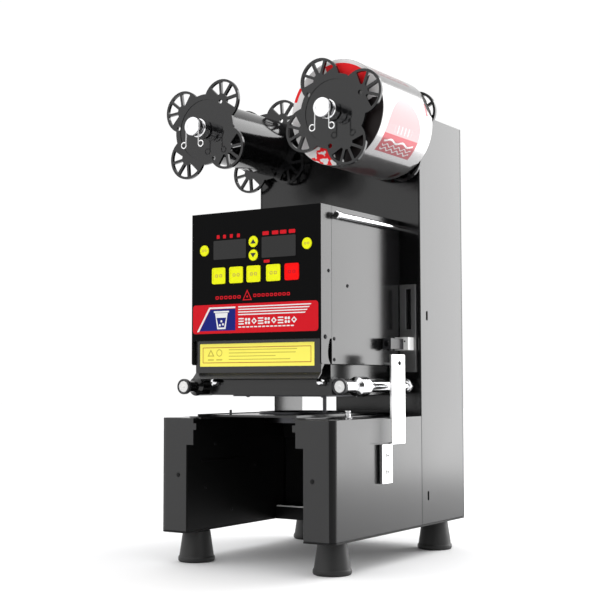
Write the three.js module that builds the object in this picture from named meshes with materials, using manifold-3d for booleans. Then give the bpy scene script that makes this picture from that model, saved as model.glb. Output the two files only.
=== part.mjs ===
// Automatic cup sealing machine: a base that takes the cup, a sealing head over it, and a tower
// that carries the film reels. Millimetres, +Z up, +Y to the rear, +X to the right seen from the front.
import * as THREE from "three";
import { mergeVertices } from "three/addons/utils/BufferGeometryUtils.js";
import Module from "manifold-3d";

const wasm = await Module();
wasm.setup();

// ---- driving dimensions ----
const gap = 0.3; // between pieces that only touch
const sheet = 2; // casing sheet
const feet = { height: 40, topRadius: 17.6, bottomRadius: 23.7, inset: 27, front: 41, rear: 39 };
const base = { width: 260, depth: 223, height: 145, corner: 9 };
const mouth = { beside: 5, step: 11, cheekDrop: 34, behind: 4.5 };
const tab = { length: 4.5, top: 6.5, height: 8.5 };
const tower = { depth: 127, height: 550 };
const lightGap = { height: 28, frontNotch: 35, rearNotch: 17, rearLength: 51, width: 128 };
const head = { width: 198, front: 48, height: 195, above: 67 };
const cover = { depth: 24, drop: 31, edge: 2 };
const film = { centre: 141, width: 132, radius: 67.5 };
const cup = { bore: 92, ringWall: 8.5, flange: 6.5, ringDepth: 14 };
const tray = { margin: 17.5, front: 26, thickness: 2.5, rise: 1.5, travel: 165 };
const gear = { module: 2, teeth: 12, width: 6, toothShare: 0.38 };
const reel = { bore: 6, ahead: 13, spacing: 145, disc: 4, below: 21, leftInset: 18, rightInset: 39.2 };
const flange = { radius: 48, lobeCentre: 46.5, lobeRadius: 28.8, rim: 3.4, spoke: 3.6, hole: 3 };
const spool = { radius: 40, motor: 15.5 };
const knob = { radius: 12.6, length: 26.7 };
const roller = { inset: 17.3, radius: 7.4, ring: 10, collar: 12.3, axle: 4.6, front: 23, rightFront: 42, above: 39.5 };
const rod = { radius: 3.6, cap: 4.7, offset: 6, front: 50, below: 11.5 };
const press = { stroke: 22, dieRadius: 48, dieHeight: 12, cutterWall: 5.8, screw: 6, column: 7, columnInset: 23 };
const key = { width: 21, height: 20.8, round: 7.2, proud: 0.8, travel: 0.6, clearance: 0.4, corner: 2 };

// ---- levels and faces worked out from them ----
const floor = feet.height;
const deck = floor + base.height;
const towerTop = floor + tower.height;
const towerRear = base.depth + tower.depth;
const headBottom = deck + head.above;
const headTop = headBottom + head.height;
const face = head.front - cover.depth;
const halfBase = base.width / 2;
const halfHead = head.width / 2;
const towerFace = base.depth + gap;
const reelZ = towerTop - reel.below;
const rearDisc = base.depth - reel.ahead;
const frontDisc = rearDisc - reel.spacing;
const trayLow = deck + tray.rise;
const trayTop = trayLow + tray.thickness;
const filmPlateLow = headBottom - 40.3;
const frameLow = filmPlateLow + 1.8;
const ringRadius = cup.bore / 2 + cup.ringWall;
const trayHalf = ringRadius + tray.margin;
const mouthHalf = trayHalf + mouth.beside;
const lowerHalf = mouthHalf + mouth.step;
const mouthDepth = film.centre + ringRadius + mouth.behind;
const columnX = halfHead - press.columnInset;
const dieLow = frameLow + 5.5;
const dieTop = dieLow + press.dieHeight;
const cutterOuter = press.dieRadius + 1.2 + press.cutterWall;
const rollerZ = deck + roller.above;

// ---- the tray's rack and pinion ----
const pitch = Math.PI * gear.module;
const toothDepth = 1.8 * gear.module;
const pinionRadius = (gear.module * gear.teeth) / 2;
const pinionY = film.centre - 20;
const rackX = ringRadius + 3;
const rackStart = pinionY - 2 * pitch;
const rackRoot = trayLow - 1.5;
const pinionZ = rackRoot - toothDepth / 2 - pinionRadius - 0.1;

const group = new THREE.Group();
const machine = new THREE.Group();
group.add(machine);

// ---- finishes ----
const finish = (color, roughness, metalness) => new THREE.MeshStandardMaterial({ color, roughness, metalness });
const finishes = {
  charcoal: finish(0x3a3a3c, 0.35, 0.4),
  black: finish(0x111113, 0.3, 0.2),
  discGrey: finish(0x404042, 0.35, 0.2),
  steel: finish(0xd6d8da, 0.25, 1),
  yellow: finish(0xf4ec20, 0.45, 0),
  red: finish(0xe0161c, 0.45, 0),
  rubber: finish(0x141414, 0.7, 0),
  film: finish(0xeeeaea, 0.3, 0),
  board: finish(0x1d5a34, 0.6, 0),
  aluminium: finish(0xb9bcc0, 0.4, 0.9),
  motor: finish(0x2b2c2e, 0.5, 0.5),
};

// ---- geometry tools ----
function facingOut(geometry) {
  const bare = new THREE.BufferGeometry();
  bare.setAttribute("position", geometry.getAttribute("position"));
  if (geometry.index) bare.setIndex(geometry.index);
  const merged = mergeVertices(bare, 1e-3);
  const position = merged.getAttribute("position");
  const index = merged.index.array;
  const corners = [new THREE.Vector3(), new THREE.Vector3(), new THREE.Vector3()];
  let volume = 0;
  for (let i = 0; i < index.length; i += 3) {
    corners.forEach((corner, k) => corner.fromBufferAttribute(position, index[i + k]));
    volume += corners[0].dot(corners[1].cross(corners[2]));
  }
  if (volume < 0) {
    for (let i = 0; i < index.length; i += 3) {
      [index[i + 1], index[i + 2]] = [index[i + 2], index[i + 1]];
    }
  }
  return merged;
}

function solid(geometry) {
  if (!geometry.isBufferGeometry) return geometry;
  const merged = facingOut(geometry);
  const vertProperties = new Float32Array(merged.getAttribute("position").array);
  return new wasm.Manifold(
    new wasm.Mesh({ numProp: 3, vertProperties, triVerts: new Uint32Array(merged.index.array) }),
  );
}

const join = (first, ...others) => others.reduce((sum, piece) => sum.add(solid(piece)), solid(first));
const cut = (first, ...others) => others.reduce((rest, piece) => rest.subtract(solid(piece)), solid(first));

function place(name, shape, material) {
  let geometry = shape;
  if (!shape.isBufferGeometry) {
    const mesh = shape.getMesh();
    geometry = new THREE.BufferGeometry();
    geometry.setAttribute("position", new THREE.BufferAttribute(new Float32Array(mesh.vertProperties), 3));
    geometry.setIndex(new THREE.BufferAttribute(new Uint32Array(mesh.triVerts), 1));
  } else {
    geometry = facingOut(shape);
  }
  geometry.computeVertexNormals();
  const piece = new THREE.Mesh(geometry, material);
  piece.name = name;
  machine.add(piece);
  return piece;
}

function box(x0, x1, y0, y1, z0, z1) {
  return new THREE.BoxGeometry(x1 - x0, y1 - y0, z1 - z0)
    .translate((x0 + x1) / 2, (y0 + y1) / 2, (z0 + z1) / 2);
}

const outline = (points) => new THREE.Shape(points.map(([a, b]) => new THREE.Vector2(a, b)));

function extruded(shape, depth, curveSegments = 5) {
  return new THREE.ExtrudeGeometry(shape, { depth, bevelEnabled: false, curveSegments });
}

// A plan outline raised from z0 to z1.
const upright = (shape, z0, z1, segments) => extruded(shape, z1 - z0, segments).translate(0, 0, z0);

// An (x, z) outline run from y0 back to y1.
function runBack(shape, y0, y1, segments) {
  return extruded(shape, y1 - y0, segments).rotateX(Math.PI / 2).translate(0, y1, 0);
}

// A (y, z) outline run across from x0 to x1.
function runAcross(shape, x0, x1, segments) {
  const turn = new THREE.Matrix4().set(0, 0, 1, 0, 1, 0, 0, 0, 0, 1, 0, 0, 0, 0, 0, 1);
  return extruded(shape, x1 - x0, segments).applyMatrix4(turn).translate(x0, 0, 0);
}

// Turned pieces: each profile point is (radius, distance along the axis).
const points = (profile) => profile.map(([r, d]) => new THREE.Vector2(r, d));
function turnedY(profile, x, z, segments = 18) {
  return new THREE.LatheGeometry(points(profile), segments).translate(x, 0, z);
}
function turnedZ(profile, x, y, segments = 18) {
  return new THREE.LatheGeometry(points(profile), segments).rotateX(Math.PI / 2).translate(x, y, 0);
}
const discY = (r, x, z, y0, y1, segments) =>
  turnedY([[0, y0], [r, y0], [r, y1], [0, y1]], x, z, segments);
const discZ = (r, x, y, z0, z1, segments) =>
  turnedZ([[0, z0], [r, z0], [r, z1], [0, z1]], x, y, segments);
function discX(r, y, z, x0, x1, segments = 14) {
  return new THREE.CylinderGeometry(r, r, x1 - x0, segments).rotateZ(Math.PI / 2)
    .translate((x0 + x1) / 2, y, z);
}

// A plan of the casing: square at the rear, rounded at the two front corners.
function casingPlan(half, front, rear, radius) {
  const shape = new THREE.Shape();
  shape.moveTo(-half, rear);
  shape.lineTo(-half, front + radius);
  shape.absarc(-half + radius, front + radius, radius, Math.PI, 1.5 * Math.PI, false);
  shape.lineTo(half - radius, front);
  shape.absarc(half - radius, front + radius, radius, 1.5 * Math.PI, 2 * Math.PI, false);
  shape.lineTo(half, rear);
  shape.closePath();
  return shape;
}

function roundedRectangle(x, z, width, height, radius) {
  const left = x - width / 2;
  const low = z - height / 2;
  const shape = new THREE.Shape();
  shape.absarc(left + radius, low + radius, radius, Math.PI, 1.5 * Math.PI, false);
  shape.absarc(left + width - radius, low + radius, radius, 1.5 * Math.PI, 2 * Math.PI, false);
  shape.absarc(left + width - radius, low + height - radius, radius, 0, 0.5 * Math.PI, false);
  shape.absarc(left + radius, low + height - radius, radius, 0.5 * Math.PI, Math.PI, false);
  shape.closePath();
  return shape;
}

// ---- base ----
// Cheeks, sides and deck of the base in one folded casing, with the louvre on its right side and a
// flange down the rear edge of the deck that ties the two sides behind the cup space.
function baseShell() {
  const low = floor + sheet + gap;
  const cheekLow = deck - mouth.cheekDrop;
  const tabHalf = mouthHalf - tab.length;
  const tabTop = deck - tab.top;
  const tabLow = tabTop - tab.height;
  const outer = upright(casingPlan(halfBase, 0, base.depth - gap, base.corner), low, deck);
  const innerPlan = casingPlan(halfBase - sheet, sheet, base.depth + sheet, base.corner - sheet);
  const inner = upright(innerPlan, low - 1, deck - sheet);
  const rackNotch = box(
    rackX - 1, rackX + gear.width + 1, mouthDepth - 1, base.depth + 1, rackRoot - toothDepth - 1, deck + 1,
  );
  const louvre = { front: 80, ramp: 106, rear: 135, depth: 4, height: 30 };
  const wedge = outline([
    [halfBase - 1, louvre.front], [halfBase + louvre.depth, louvre.ramp],
    [halfBase + louvre.depth, louvre.rear], [halfBase - 1, louvre.rear],
  ]);
  return join(
    cut(
      outer,
      inner,
      box(-lowerHalf, lowerHalf, -1, sheet + 1, low - 1, cheekLow),
      box(-mouthHalf, mouthHalf, -1, sheet + 1, cheekLow - 1, tabLow),
      box(-tabHalf, tabHalf, -1, sheet + 1, tabLow - 1, tabTop + 1),
      box(-mouthHalf, mouthHalf, -1, sheet + 1, tabTop, deck - sheet + 1),
      box(-mouthHalf, mouthHalf, -1, mouthDepth, deck - sheet - 1, deck + 1),
      rackNotch,
    ),
    upright(wedge, deck - 1 - louvre.height, deck - 1),
    cut(
      box(-halfBase + 1, halfBase - 1, base.depth - gap - sheet, base.depth - gap, deck - 32, deck - 1),
      rackNotch,
    ),
  );
}

// The plate under the casing is open below the cup space and folds up into a lip behind it.
function bottomPlate() {
  const opening = 200;
  const lip = 15;
  return join(
    cut(
      upright(casingPlan(halfBase, 0, towerRear, base.corner), floor, floor + sheet),
      box(-lowerHalf, lowerHalf, -1, opening, floor - 1, floor + sheet + 1),
    ),
    box(-lowerHalf + gap, lowerHalf - gap, opening, opening + sheet, floor, floor + sheet + lip),
  );
}

function sideLiner(side) {
  const inner = lowerHalf * side;
  const outer = (lowerHalf + sheet) * side;
  const plate = box(
    Math.min(inner, outer), Math.max(inner, outer),
    sheet + gap, base.depth - sheet - 2 * gap, floor + sheet + gap, deck - sheet - gap,
  );
  return side > 0 ? cut(plate, discX(5, pinionY, pinionZ, lowerHalf - 1, lowerHalf + sheet + 1)) : plate;
}

function foot(x, y) {
  const r = feet.bottomRadius;
  const top = feet.height - gap;
  return turnedZ([[0, 0], [r - 2, 0], [r, 3], [r - 0.6, 8], [feet.topRadius, top], [0, top]], x, y, 20);
}

// ---- tower ----
// The tower is open on its left at tray height, so a stretch of wall ties the two halves.
function towerCover() {
  const low = floor + sheet + gap;
  const rear = towerRear - sheet - gap;
  const openTop = deck - 1 + lightGap.height;
  const slot = { y: 18, width: 4, height: 11.5, low: 31, high: 270.5 };
  const slots = [slot.low, slot.high].map((z) =>
    box(
      -halfBase - 1, halfBase + 1, base.depth + slot.y - slot.width / 2, base.depth + slot.y + slot.width / 2,
      low + z, low + z + slot.height,
    ));
  return cut(
    box(-halfBase, halfBase, base.depth, rear, low, towerTop),
    box(-halfBase + sheet, halfBase - sheet, base.depth - 1, rear + 1, low - 1, towerTop - sheet),
    box(-halfBase - 1, -halfBase + sheet + 1, base.depth - 1, base.depth + lightGap.frontNotch, deck - 1, openTop),
    box(-halfBase - 1, -halfBase + sheet + 1, rear - lightGap.rearNotch, rear + 1, deck - 1, openTop),
    ...slots,
  );
}

function towerFront() {
  const half = halfBase - sheet - gap;
  const openTop = deck - 1 + lightGap.height;
  const thick = [towerFace - 1, towerFace + sheet + 1];
  return cut(
    box(-half, half, towerFace, towerFace + sheet, floor + sheet + gap, towerTop - sheet - gap),
    box(-half - 1, -half - 1 + lightGap.width, ...thick, deck - 1, openTop),
    box(-24, rackX + gear.width + 5, ...thick, rackRoot - toothDepth - 2, trayTop + 3),
    discY(reel.bore + 0.5, -halfBase + reel.leftInset, reelZ, ...thick, 16),
    discY(reel.bore + 0.5, halfBase - reel.rightInset, reelZ, ...thick, 16),
    discY(roller.axle + 0.5, -halfBase + roller.inset, rollerZ, ...thick, 14),
    discY(roller.axle + 0.5, halfBase - roller.inset, rollerZ, ...thick, 14),
  );
}

const inlet = { x: 70, z: 100, width: 50, height: 58, body: 3 };

function rearCover() {
  const low = floor + sheet + gap;
  const y0 = towerRear - sheet;
  const openTop = deck - 1 + lightGap.height;
  const vents = [0, 1, 2, 3, 4, 5].map((row) =>
    box(-60, 60, y0 - 1, towerRear + 1, towerTop - 150 - row * 16, towerTop - 144 - row * 16));
  return cut(
    box(-halfBase, halfBase, y0, towerRear, low, towerTop),
    box(-halfBase - 1, -halfBase + lightGap.rearLength, y0 - 1, towerRear + 1, deck - 1, openTop),
    box(
      inlet.x - inlet.width / 2 + inlet.body, inlet.x + inlet.width / 2 - inlet.body, y0 - 1, towerRear + 1,
      inlet.z - inlet.height / 2 + inlet.body, inlet.z + inlet.height / 2 - inlet.body,
    ),
    ...vents,
  );
}

const rocker = { z: inlet.z + 14, width: 20, height: 13, depth: 8, swing: 8 };

function powerInlet() {
  const front = towerRear + gap;
  const lip = 3;
  const inside = inlet.body + 0.5;
  return cut(
    join(
      box(
        inlet.x - inlet.width / 2, inlet.x + inlet.width / 2, front, front + lip,
        inlet.z - inlet.height / 2, inlet.z + inlet.height / 2,
      ),
      box(
        inlet.x - inlet.width / 2 + inside, inlet.x + inlet.width / 2 - inside, front - 22, front + 0.5,
        inlet.z - inlet.height / 2 + inside, inlet.z + inlet.height / 2 - inside,
      ),
    ),
    box(inlet.x - 13, inlet.x + 13, front - 14, front + lip + 1, inlet.z - 19, inlet.z - 2),
    box(
      inlet.x - rocker.width / 2 - 0.6, inlet.x + rocker.width / 2 + 0.6, front - 12, front + lip + 1,
      rocker.z - rocker.height / 2 - 1.2, rocker.z + rocker.height / 2 + 1.2,
    ),
  );
}

// The rocker's face is a shallow V about its pivot.
function rockerSwitch() {
  const y = towerRear + gap + 1;
  const half = rocker.height / 2;
  const profile = outline([
    [y - rocker.depth, rocker.z - half + 2], [y + 2, rocker.z - half], [y + 1, rocker.z],
    [y + 2, rocker.z + half], [y - rocker.depth, rocker.z + half - 2],
  ]);
  return runAcross(profile, inlet.x - rocker.width / 2, inlet.x + rocker.width / 2);
}

// ---- head ----
function headShell() {
  const rear = base.depth - gap;
  return cut(
    box(-halfHead, halfHead, head.front + gap, rear, headBottom, headTop),
    box(-halfHead + sheet, halfHead - sheet, head.front - 1, rear + 1, headBottom - 1, headTop - sheet),
  );
}

const keyRow = { z: headTop - 81.3, x: [-55.5, -27.9, -0.9, 29.1, 56.7] };
const arrowX = -1.5;
const roundKeys = [
  { name: "key_up", x: arrowX, z: headTop - 40.5 },
  { name: "key_down", x: arrowX, z: headTop - 57.6 },
  { name: "key_left", x: -halfHead + 20.2, z: headTop - 47.7 },
  { name: "key_right", x: halfHead - 20.2, z: headTop - 47.7 },
];
const flapPivot = { y: head.front - 14.5, z: headBottom + 33, radius: 2.4 };

// Front panel, sides and top of the control cover; each side reaches down past the panel as an ear.
function frontCover() {
  const low = headBottom + cover.drop;
  const wide = halfHead + 1;
  const inside = halfHead - cover.edge;
  const ear = new THREE.Shape();
  ear.moveTo(face, low + 1);
  ear.lineTo(face, headBottom + 2);
  ear.lineTo(face + 2, headBottom);
  ear.lineTo(face + 21, headBottom);
  ear.quadraticCurveTo(face + 10, headBottom + 10, face + 20, low + 1);
  ear.closePath();
  const holes = keyRow.x.map((x) =>
    runBack(
      roundedRectangle(x, keyRow.z, key.width + 2 * key.clearance, key.height + 2 * key.clearance, key.corner),
      face - 1, face + cover.edge + 1, 2,
    ));
  roundKeys.forEach(({ x, z }) => holes.push(discY(key.round + key.clearance, x, z, face - 1, face + cover.edge + 1)));
  const pins = [-1, 1].map((side) =>
    discX(flapPivot.radius, flapPivot.y, flapPivot.z, side > 0 ? halfHead - 6 : -halfHead + 1,
      side > 0 ? halfHead - 1 : -halfHead + 6, 12));
  return join(
    cut(
      box(-halfHead, halfHead, face, head.front, low, headTop),
      box(-inside, inside, face + cover.edge, head.front + 1, low - 1, headTop - cover.edge),
      ...holes,
    ),
    cut(runAcross(ear, -halfHead, halfHead), box(-inside, inside, 0, wide, headBottom - 1, low + 2)),
    ...pins,
  );
}

function squareKey(x) {
  return runBack(
    roundedRectangle(x, keyRow.z, key.width, key.height, key.corner), face - key.proud, face + 4, 2,
  );
}

const roundKey = ({ x, z }) => discY(key.round, x, z, face - key.proud, face + 4, 18);

function controlBoard() {
  const y = face + 4 + key.travel + 2;
  return box(-halfHead + 12, halfHead - 12, y, y + 1.6, keyRow.z - 22, headTop - 22);
}

// The flap hangs between the ears on their pins; its lip flares forward over the film frame.
const flapHalf = halfHead - cover.edge - 1.2;
function safetyFlap() {
  const front = flapPivot.y - 4.5;
  const top = flapPivot.z - 1;
  const bend = headBottom - 10;
  const lip = { y: front - 7.5, z: headBottom - 17.5 };
  const t = 1.2;
  const panel = outline([
    [front, top], [front, bend], [lip.y, lip.z], [lip.y + 1, lip.z - 0.6],
    [front + t, bend - 0.6], [front + t, top],
  ]);
  const ear = new THREE.Shape();
  ear.moveTo(front + 0.5, bend + 2);
  ear.lineTo(front + 9, bend + 12);
  ear.lineTo(flapPivot.y + 5, flapPivot.z);
  ear.absarc(flapPivot.y, flapPivot.z, 4.5, 0, Math.PI, false);
  ear.closePath();
  const bore = flapPivot.radius + 0.4;
  return cut(
    join(
      runAcross(panel, -flapHalf, flapHalf),
      runAcross(ear, flapHalf - 1.5, flapHalf),
      runAcross(ear, -flapHalf, -flapHalf + 1.5),
    ),
    discX(bore, flapPivot.y, flapPivot.z, flapHalf - 4, flapHalf + 2, 12),
    discX(bore, flapPivot.y, flapPivot.z, -flapHalf - 2, -flapHalf + 4, 12),
  );
}

// ---- press ----
const frame = { half: halfHead - 5, front: head.front + 8, rear: base.depth - 9, step: 20.5 };
const stud = { x: halfHead - 17.5, front: head.front, radius: 4.6 };

function pressHousing() {
  const mid = frameLow + frame.step;
  const z = deck + roller.above + 5.5;
  return join(
    cut(
      join(
        box(-frame.half, frame.half, frame.front, frame.rear, frameLow, mid),
        box(-frame.half + 4, frame.half - 4, frame.front + 4, frame.rear, mid - 1, headBottom - gap),
      ),
      discZ(cutterOuter + 5, 0, film.centre, frameLow - 1, headBottom + 1, 32),
    ),
    discY(stud.radius, -stud.x, z, stud.front, frame.front + 2, 16),
    discY(stud.radius, stud.x, z, stud.front, frame.front + 2, 16),
  );
}

// The plate that the film slides over, with the thin post that hangs from it.
function filmPlate() {
  const hole = cutterOuter + 3.5;
  const post = { x: 56, y: film.centre - 41, radius: 2.5 };
  const plate = 1.5;
  return join(
    cut(
      box(-trayHalf, trayHalf, film.centre - hole - 4.5, film.centre + hole + 4.5, filmPlateLow, filmPlateLow + plate),
      discZ(hole, 0, film.centre, filmPlateLow - 1, filmPlateLow + plate + 1, 32),
    ),
    discZ(post.radius, post.x, post.y, trayTop + 3.2, filmPlateLow + 0.5, 10),
  );
}

const carriageLow = headBottom + press.stroke + 2.3;
const motorPlateLow = headTop - 67;

const heatPlate = () => discZ(press.dieRadius, 0, film.centre, dieLow, dieTop, 32);

function cutterRing() {
  const inner = press.dieRadius + 1.2;
  const low = dieLow - 4;
  return turnedZ([
    [inner, low], [inner + 2, low - 1], [cutterOuter, low + 3], [cutterOuter, dieTop + 5],
    [16, dieTop + 5], [16, dieTop + 1], [inner, dieTop + 1], [inner, low],
  ], 0, film.centre, 32);
}

function pressCarriage() {
  const top = carriageLow + 10;
  const bore = press.screw + 0.4;
  const columnBore = press.column + 0.4;
  const ends = [-1, 1].map((side) =>
    discZ(columnBore, side * columnX, film.centre, carriageLow - 1, top + 1, 16));
  return cut(
    join(
      box(-columnX - 12, columnX + 12, film.centre - 26, film.centre + 26, carriageLow, top),
      discZ(15, 0, film.centre, dieTop + gap, carriageLow + 1, 18),
      discZ(18, 0, film.centre, top - 1, top + 16, 18),
    ),
    discZ(bore, 0, film.centre, dieTop + 5, top + 17, 16),
    ...ends,
  );
}

const pressScrew = () => discZ(press.screw, 0, film.centre, dieTop + 9, motorPlateLow + 5.5, 16);

function pressMotor() {
  const top = motorPlateLow + 6;
  return cut(
    join(
      box(-halfHead + 5, halfHead - 5, film.centre - 60, film.centre + 72, motorPlateLow, top),
      discZ(31, 0, film.centre, top - 1, headTop - sheet - 2, 24),
    ),
    discZ(press.screw + 2, 0, film.centre, motorPlateLow - 1, top, 16),
  );
}

const guideColumn = (side) =>
  discZ(press.column, side * columnX, film.centre, headBottom, motorPlateLow - gap, 16);

// ---- tray ----
// Tray plate, its tail into the tower, the rack under its right edge and the cup stop pin.
function trayPlate() {
  const rear = base.depth - 8;
  const pin = { x: -48, y: 40, radius: 1.7, height: 6 };
  const rackTeeth = Math.ceil((tray.travel + 3 * pitch) / pitch);
  const rackEnd = rackStart + rackTeeth * pitch;
  const share = gear.toothShare * pitch;
  const rack = [[rackStart, trayLow + 0.5], [rackStart, rackRoot]];
  for (let tooth = 0; tooth < rackTeeth; tooth++) {
    const y = rackStart + tooth * pitch;
    rack.push([y + (pitch - share) / 2 - 0.5, rackRoot], [y + (pitch - share) / 2 + 0.4, rackRoot - toothDepth]);
    rack.push([y + (pitch + share) / 2 - 0.4, rackRoot - toothDepth], [y + (pitch + share) / 2 + 0.5, rackRoot]);
  }
  rack.push([rackEnd, rackRoot], [rackEnd, trayLow + 0.5]);
  return join(
    cut(
      join(
        box(-trayHalf, trayHalf, tray.front, rear, trayLow, trayTop),
        box(-20, rackX + gear.width + 1, rear - 1, rackEnd, trayLow, trayTop),
      ),
      discZ(ringRadius + gap, 0, film.centre, trayLow - 1, trayTop + 1, 32),
    ),
    runAcross(outline(rack), rackX, rackX + gear.width),
    discZ(pin.radius, pin.x, pin.y, trayTop - 0.5, trayTop + pin.height, 10),
  );
}

function cupRing() {
  const bore = cup.bore / 2;
  const top = trayTop + gap + 2.2;
  return turnedZ([
    [bore, top - cup.ringDepth], [ringRadius, top - cup.ringDepth], [ringRadius, trayTop + gap],
    [ringRadius + cup.flange, trayTop + gap], [ringRadius + cup.flange, top], [bore + 2, top],
    [bore, top - 2], [bore, top - cup.ringDepth],
  ], 0, film.centre, 32);
}

function trayRail(side) {
  const edge = trayHalf;
  const low = deck - sheet + 0.6;
  const profile = outline([
    [edge - 2, low], [mouthHalf - 0.6, low], [mouthHalf - 0.6, deck + gap], [edge + 16, deck + gap],
    [edge + 16, deck + 2], [edge + 3, deck + 2], [edge + 3, trayTop + 1], [edge + 1, trayTop + 1],
    [edge + 1, trayLow - 0.4], [edge - 2, trayLow - 0.4],
  ].map(([x, z]) => [x * side, z]));
  return runBack(profile, 6, mouthDepth - gap);
}

function trayPinion() {
  const tip = pinionRadius + toothDepth / 2 - 0.2;
  const root = pinionRadius - toothDepth / 2 - 0.2;
  const wheel = [];
  for (let tooth = 0; tooth < gear.teeth; tooth++) {
    const middle = (2 * Math.PI * tooth) / gear.teeth + Math.PI / 2;
    const half = (gear.toothShare * Math.PI) / gear.teeth;
    [[-1.5, root], [-0.7, tip], [0.7, tip], [1.5, root]].forEach(([turn, r]) => {
      const angle = middle + turn * half;
      wheel.push([pinionY + r * Math.cos(angle), pinionZ + r * Math.sin(angle)]);
    });
  }
  return join(
    runAcross(outline(wheel), rackX, rackX + gear.width),
    discX(4, pinionY, pinionZ, rackX + gear.width - 1, lowerHalf + sheet + 1.5, 14),
  );
}

function trayMotor() {
  const x0 = lowerHalf + sheet + 2;
  const x1 = halfBase - sheet - 3;
  const top = deck - sheet - 1;
  const gearbox = top - 34;
  return join(
    box(x0, x1, pinionY - 17, pinionY + 17, gearbox, top),
    discZ((x1 - x0) / 2 - 1.5, (x0 + x1) / 2, pinionY, gearbox - 52, gearbox + 1, 18),
  );
}

// ---- reels ----
// A flower-shaped flange: a round centre with four lobes, each pierced by four windows.
function reelDisc(x, y, turn) {
  const lobes = 4;
  const { lobeCentre: d, lobeRadius: r, radius: main } = flange;
  const alongAxis = (main * main - r * r + d * d) / (2 * d);
  const across = Math.sqrt(main * main - alongAxis * alongAxis);
  const meet = Math.atan2(across, alongAxis - d);
  const mainMeet = Math.atan2(across, alongAxis);
  const shape = new THREE.Shape();
  for (let lobe = 0; lobe < lobes; lobe++) {
    const angle = turn + (lobe * 2 * Math.PI) / lobes;
    const cx = d * Math.cos(angle);
    const cz = d * Math.sin(angle);
    shape.absarc(cx, cz, r, angle - meet, angle + meet, false);
    const next = angle + (2 * Math.PI) / lobes - mainMeet;
    if (next > angle + mainMeet) shape.absarc(0, 0, main, angle + mainMeet, next, false);
  }
  shape.closePath();
  const windowFrom = 9;
  const windowTo = r - flange.rim;
  const span = meet * 0.82;
  for (let lobe = 0; lobe < lobes; lobe++) {
    const angle = turn + (lobe * 2 * Math.PI) / lobes;
    for (let pane = 0; pane < 4; pane++) {
      const step = (2 * span) / 4;
      const middle = angle - span + step * (pane + 0.5);
      const inset = flange.spoke / 2;
      const ring = [windowFrom, windowTo, windowTo, windowTo, windowFrom];
      const turns = [-1, -1, 0, 1, 1];
      const path = new THREE.Path(ring.map((radius, k) => {
        const a = middle + turns[k] * Math.max(step / 2 - inset / radius, 0.05);
        return new THREE.Vector2(d * Math.cos(angle) + radius * Math.cos(a), d * Math.sin(angle) + radius * Math.sin(a));
      }));
      shape.holes.push(path);
    }
  }
  const bore = new THREE.Path();
  bore.absarc(0, 0, reel.bore + 0.4, 0, 2 * Math.PI, true);
  shape.holes.push(bore);
  for (let k = 0; k < 3; k++) {
    const angle = turn + (k * 2 * Math.PI) / 3;
    const hole = new THREE.Path();
    const reach = flange.lobeCentre - 2;
    hole.absarc(reach * Math.cos(angle), reach * Math.sin(angle), flange.hole, 0, 2 * Math.PI, true);
    shape.holes.push(hole);
  }
  return runBack(shape, y, y + reel.disc, 5).translate(x, 0, reelZ);
}

function reelShaft(x, rear) {
  const front = frontDisc - 12;
  const boss = rearDisc + reel.disc + gap;
  return turnedY([
    [0, front], [reel.bore, front], [reel.bore, boss], [14, boss], [14, towerFace - gap],
    [reel.bore, towerFace - gap], [reel.bore, rear], [0, rear],
  ], x, reelZ, 18);
}

// A stepped knob: end cap, groove for the wire clip, and ring against the disc.
function reelKnob(x) {
  const back = frontDisc - gap;
  const front = back - knob.length;
  const bore = reel.bore + 0.4;
  const r = knob.radius;
  return turnedY([
    [0, front], [r - 1.5, front], [r - 0.6, front + 1], [r - 0.6, front + 9], [r - 4, front + 10],
    [r - 4, front + 13], [r - 1, front + 14], [r, front + 16], [r, back - 1], [r - 1, back],
    [bore, back], [bore, frontDisc - 13], [0, frontDisc - 13],
  ], x, reelZ, 18);
}

function sleeve(outer, x, y0, y1, segments) {
  const inner = reel.bore + 0.4;
  return turnedY([[inner, y0], [outer, y0], [outer, y1], [inner, y1], [inner, y0]], x, reelZ, segments);
}

function takeupMotor(x) {
  const y0 = towerFace + sheet + gap;
  return turnedY([
    [reel.bore + 0.5, y0], [spool.motor, y0], [spool.motor, y0 + 55], [0, y0 + 55], [0, y0 + 39],
    [reel.bore + 0.5, y0 + 39], [reel.bore + 0.5, y0],
  ], x, reelZ, 20);
}

// ---- film guides ----
function guideRoller(side, front, collarFront, collarRear) {
  const rear = towerFace - gap;
  const { radius: r, ring, collar, axle } = roller;
  const axleEnd = towerFace + sheet + 9;
  return turnedY([
    [0, front], [ring - 0.8, front], [ring, front + 1], [ring, front + 6], [r, front + 7],
    [r, collarFront - 3], [collar, collarFront], [collar, collarRear], [r, collarRear + 3],
    [r, rear - 14], [r + 2.5, rear - 14], [r + 2.5, rear - 10], [axle, rear - 10], [axle, axleEnd], [0, axleEnd],
  ], side * (halfBase - roller.inset), rollerZ, 18);
}

function upperRod(side) {
  const front = rod.front;
  const rear = towerFace - gap;
  return turnedY([
    [0, front], [rod.cap, front], [rod.cap, front + 6], [rod.radius, front + 8], [rod.radius, rear], [0, rear],
  ], side * (halfHead + rod.offset), headTop - rod.below, 12);
}

// ---- film sensor and side fittings ----
const bracket = { x: halfHead + 1, slot: 7.6, width: 24, low: headBottom - 9, height: 117, thickness: 3 };

function slottedBracket() {
  const middle = bracket.x + bracket.width / 2 + 1;
  const front = towerFace - gap - bracket.thickness;
  return cut(
    box(bracket.x, bracket.x + bracket.width, front, front + bracket.thickness, bracket.low, bracket.low + bracket.height),
    box(middle - bracket.slot / 2, middle + bracket.slot / 2, front - 1, towerFace, bracket.low + 57, bracket.low + 111),
  );
}

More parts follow.
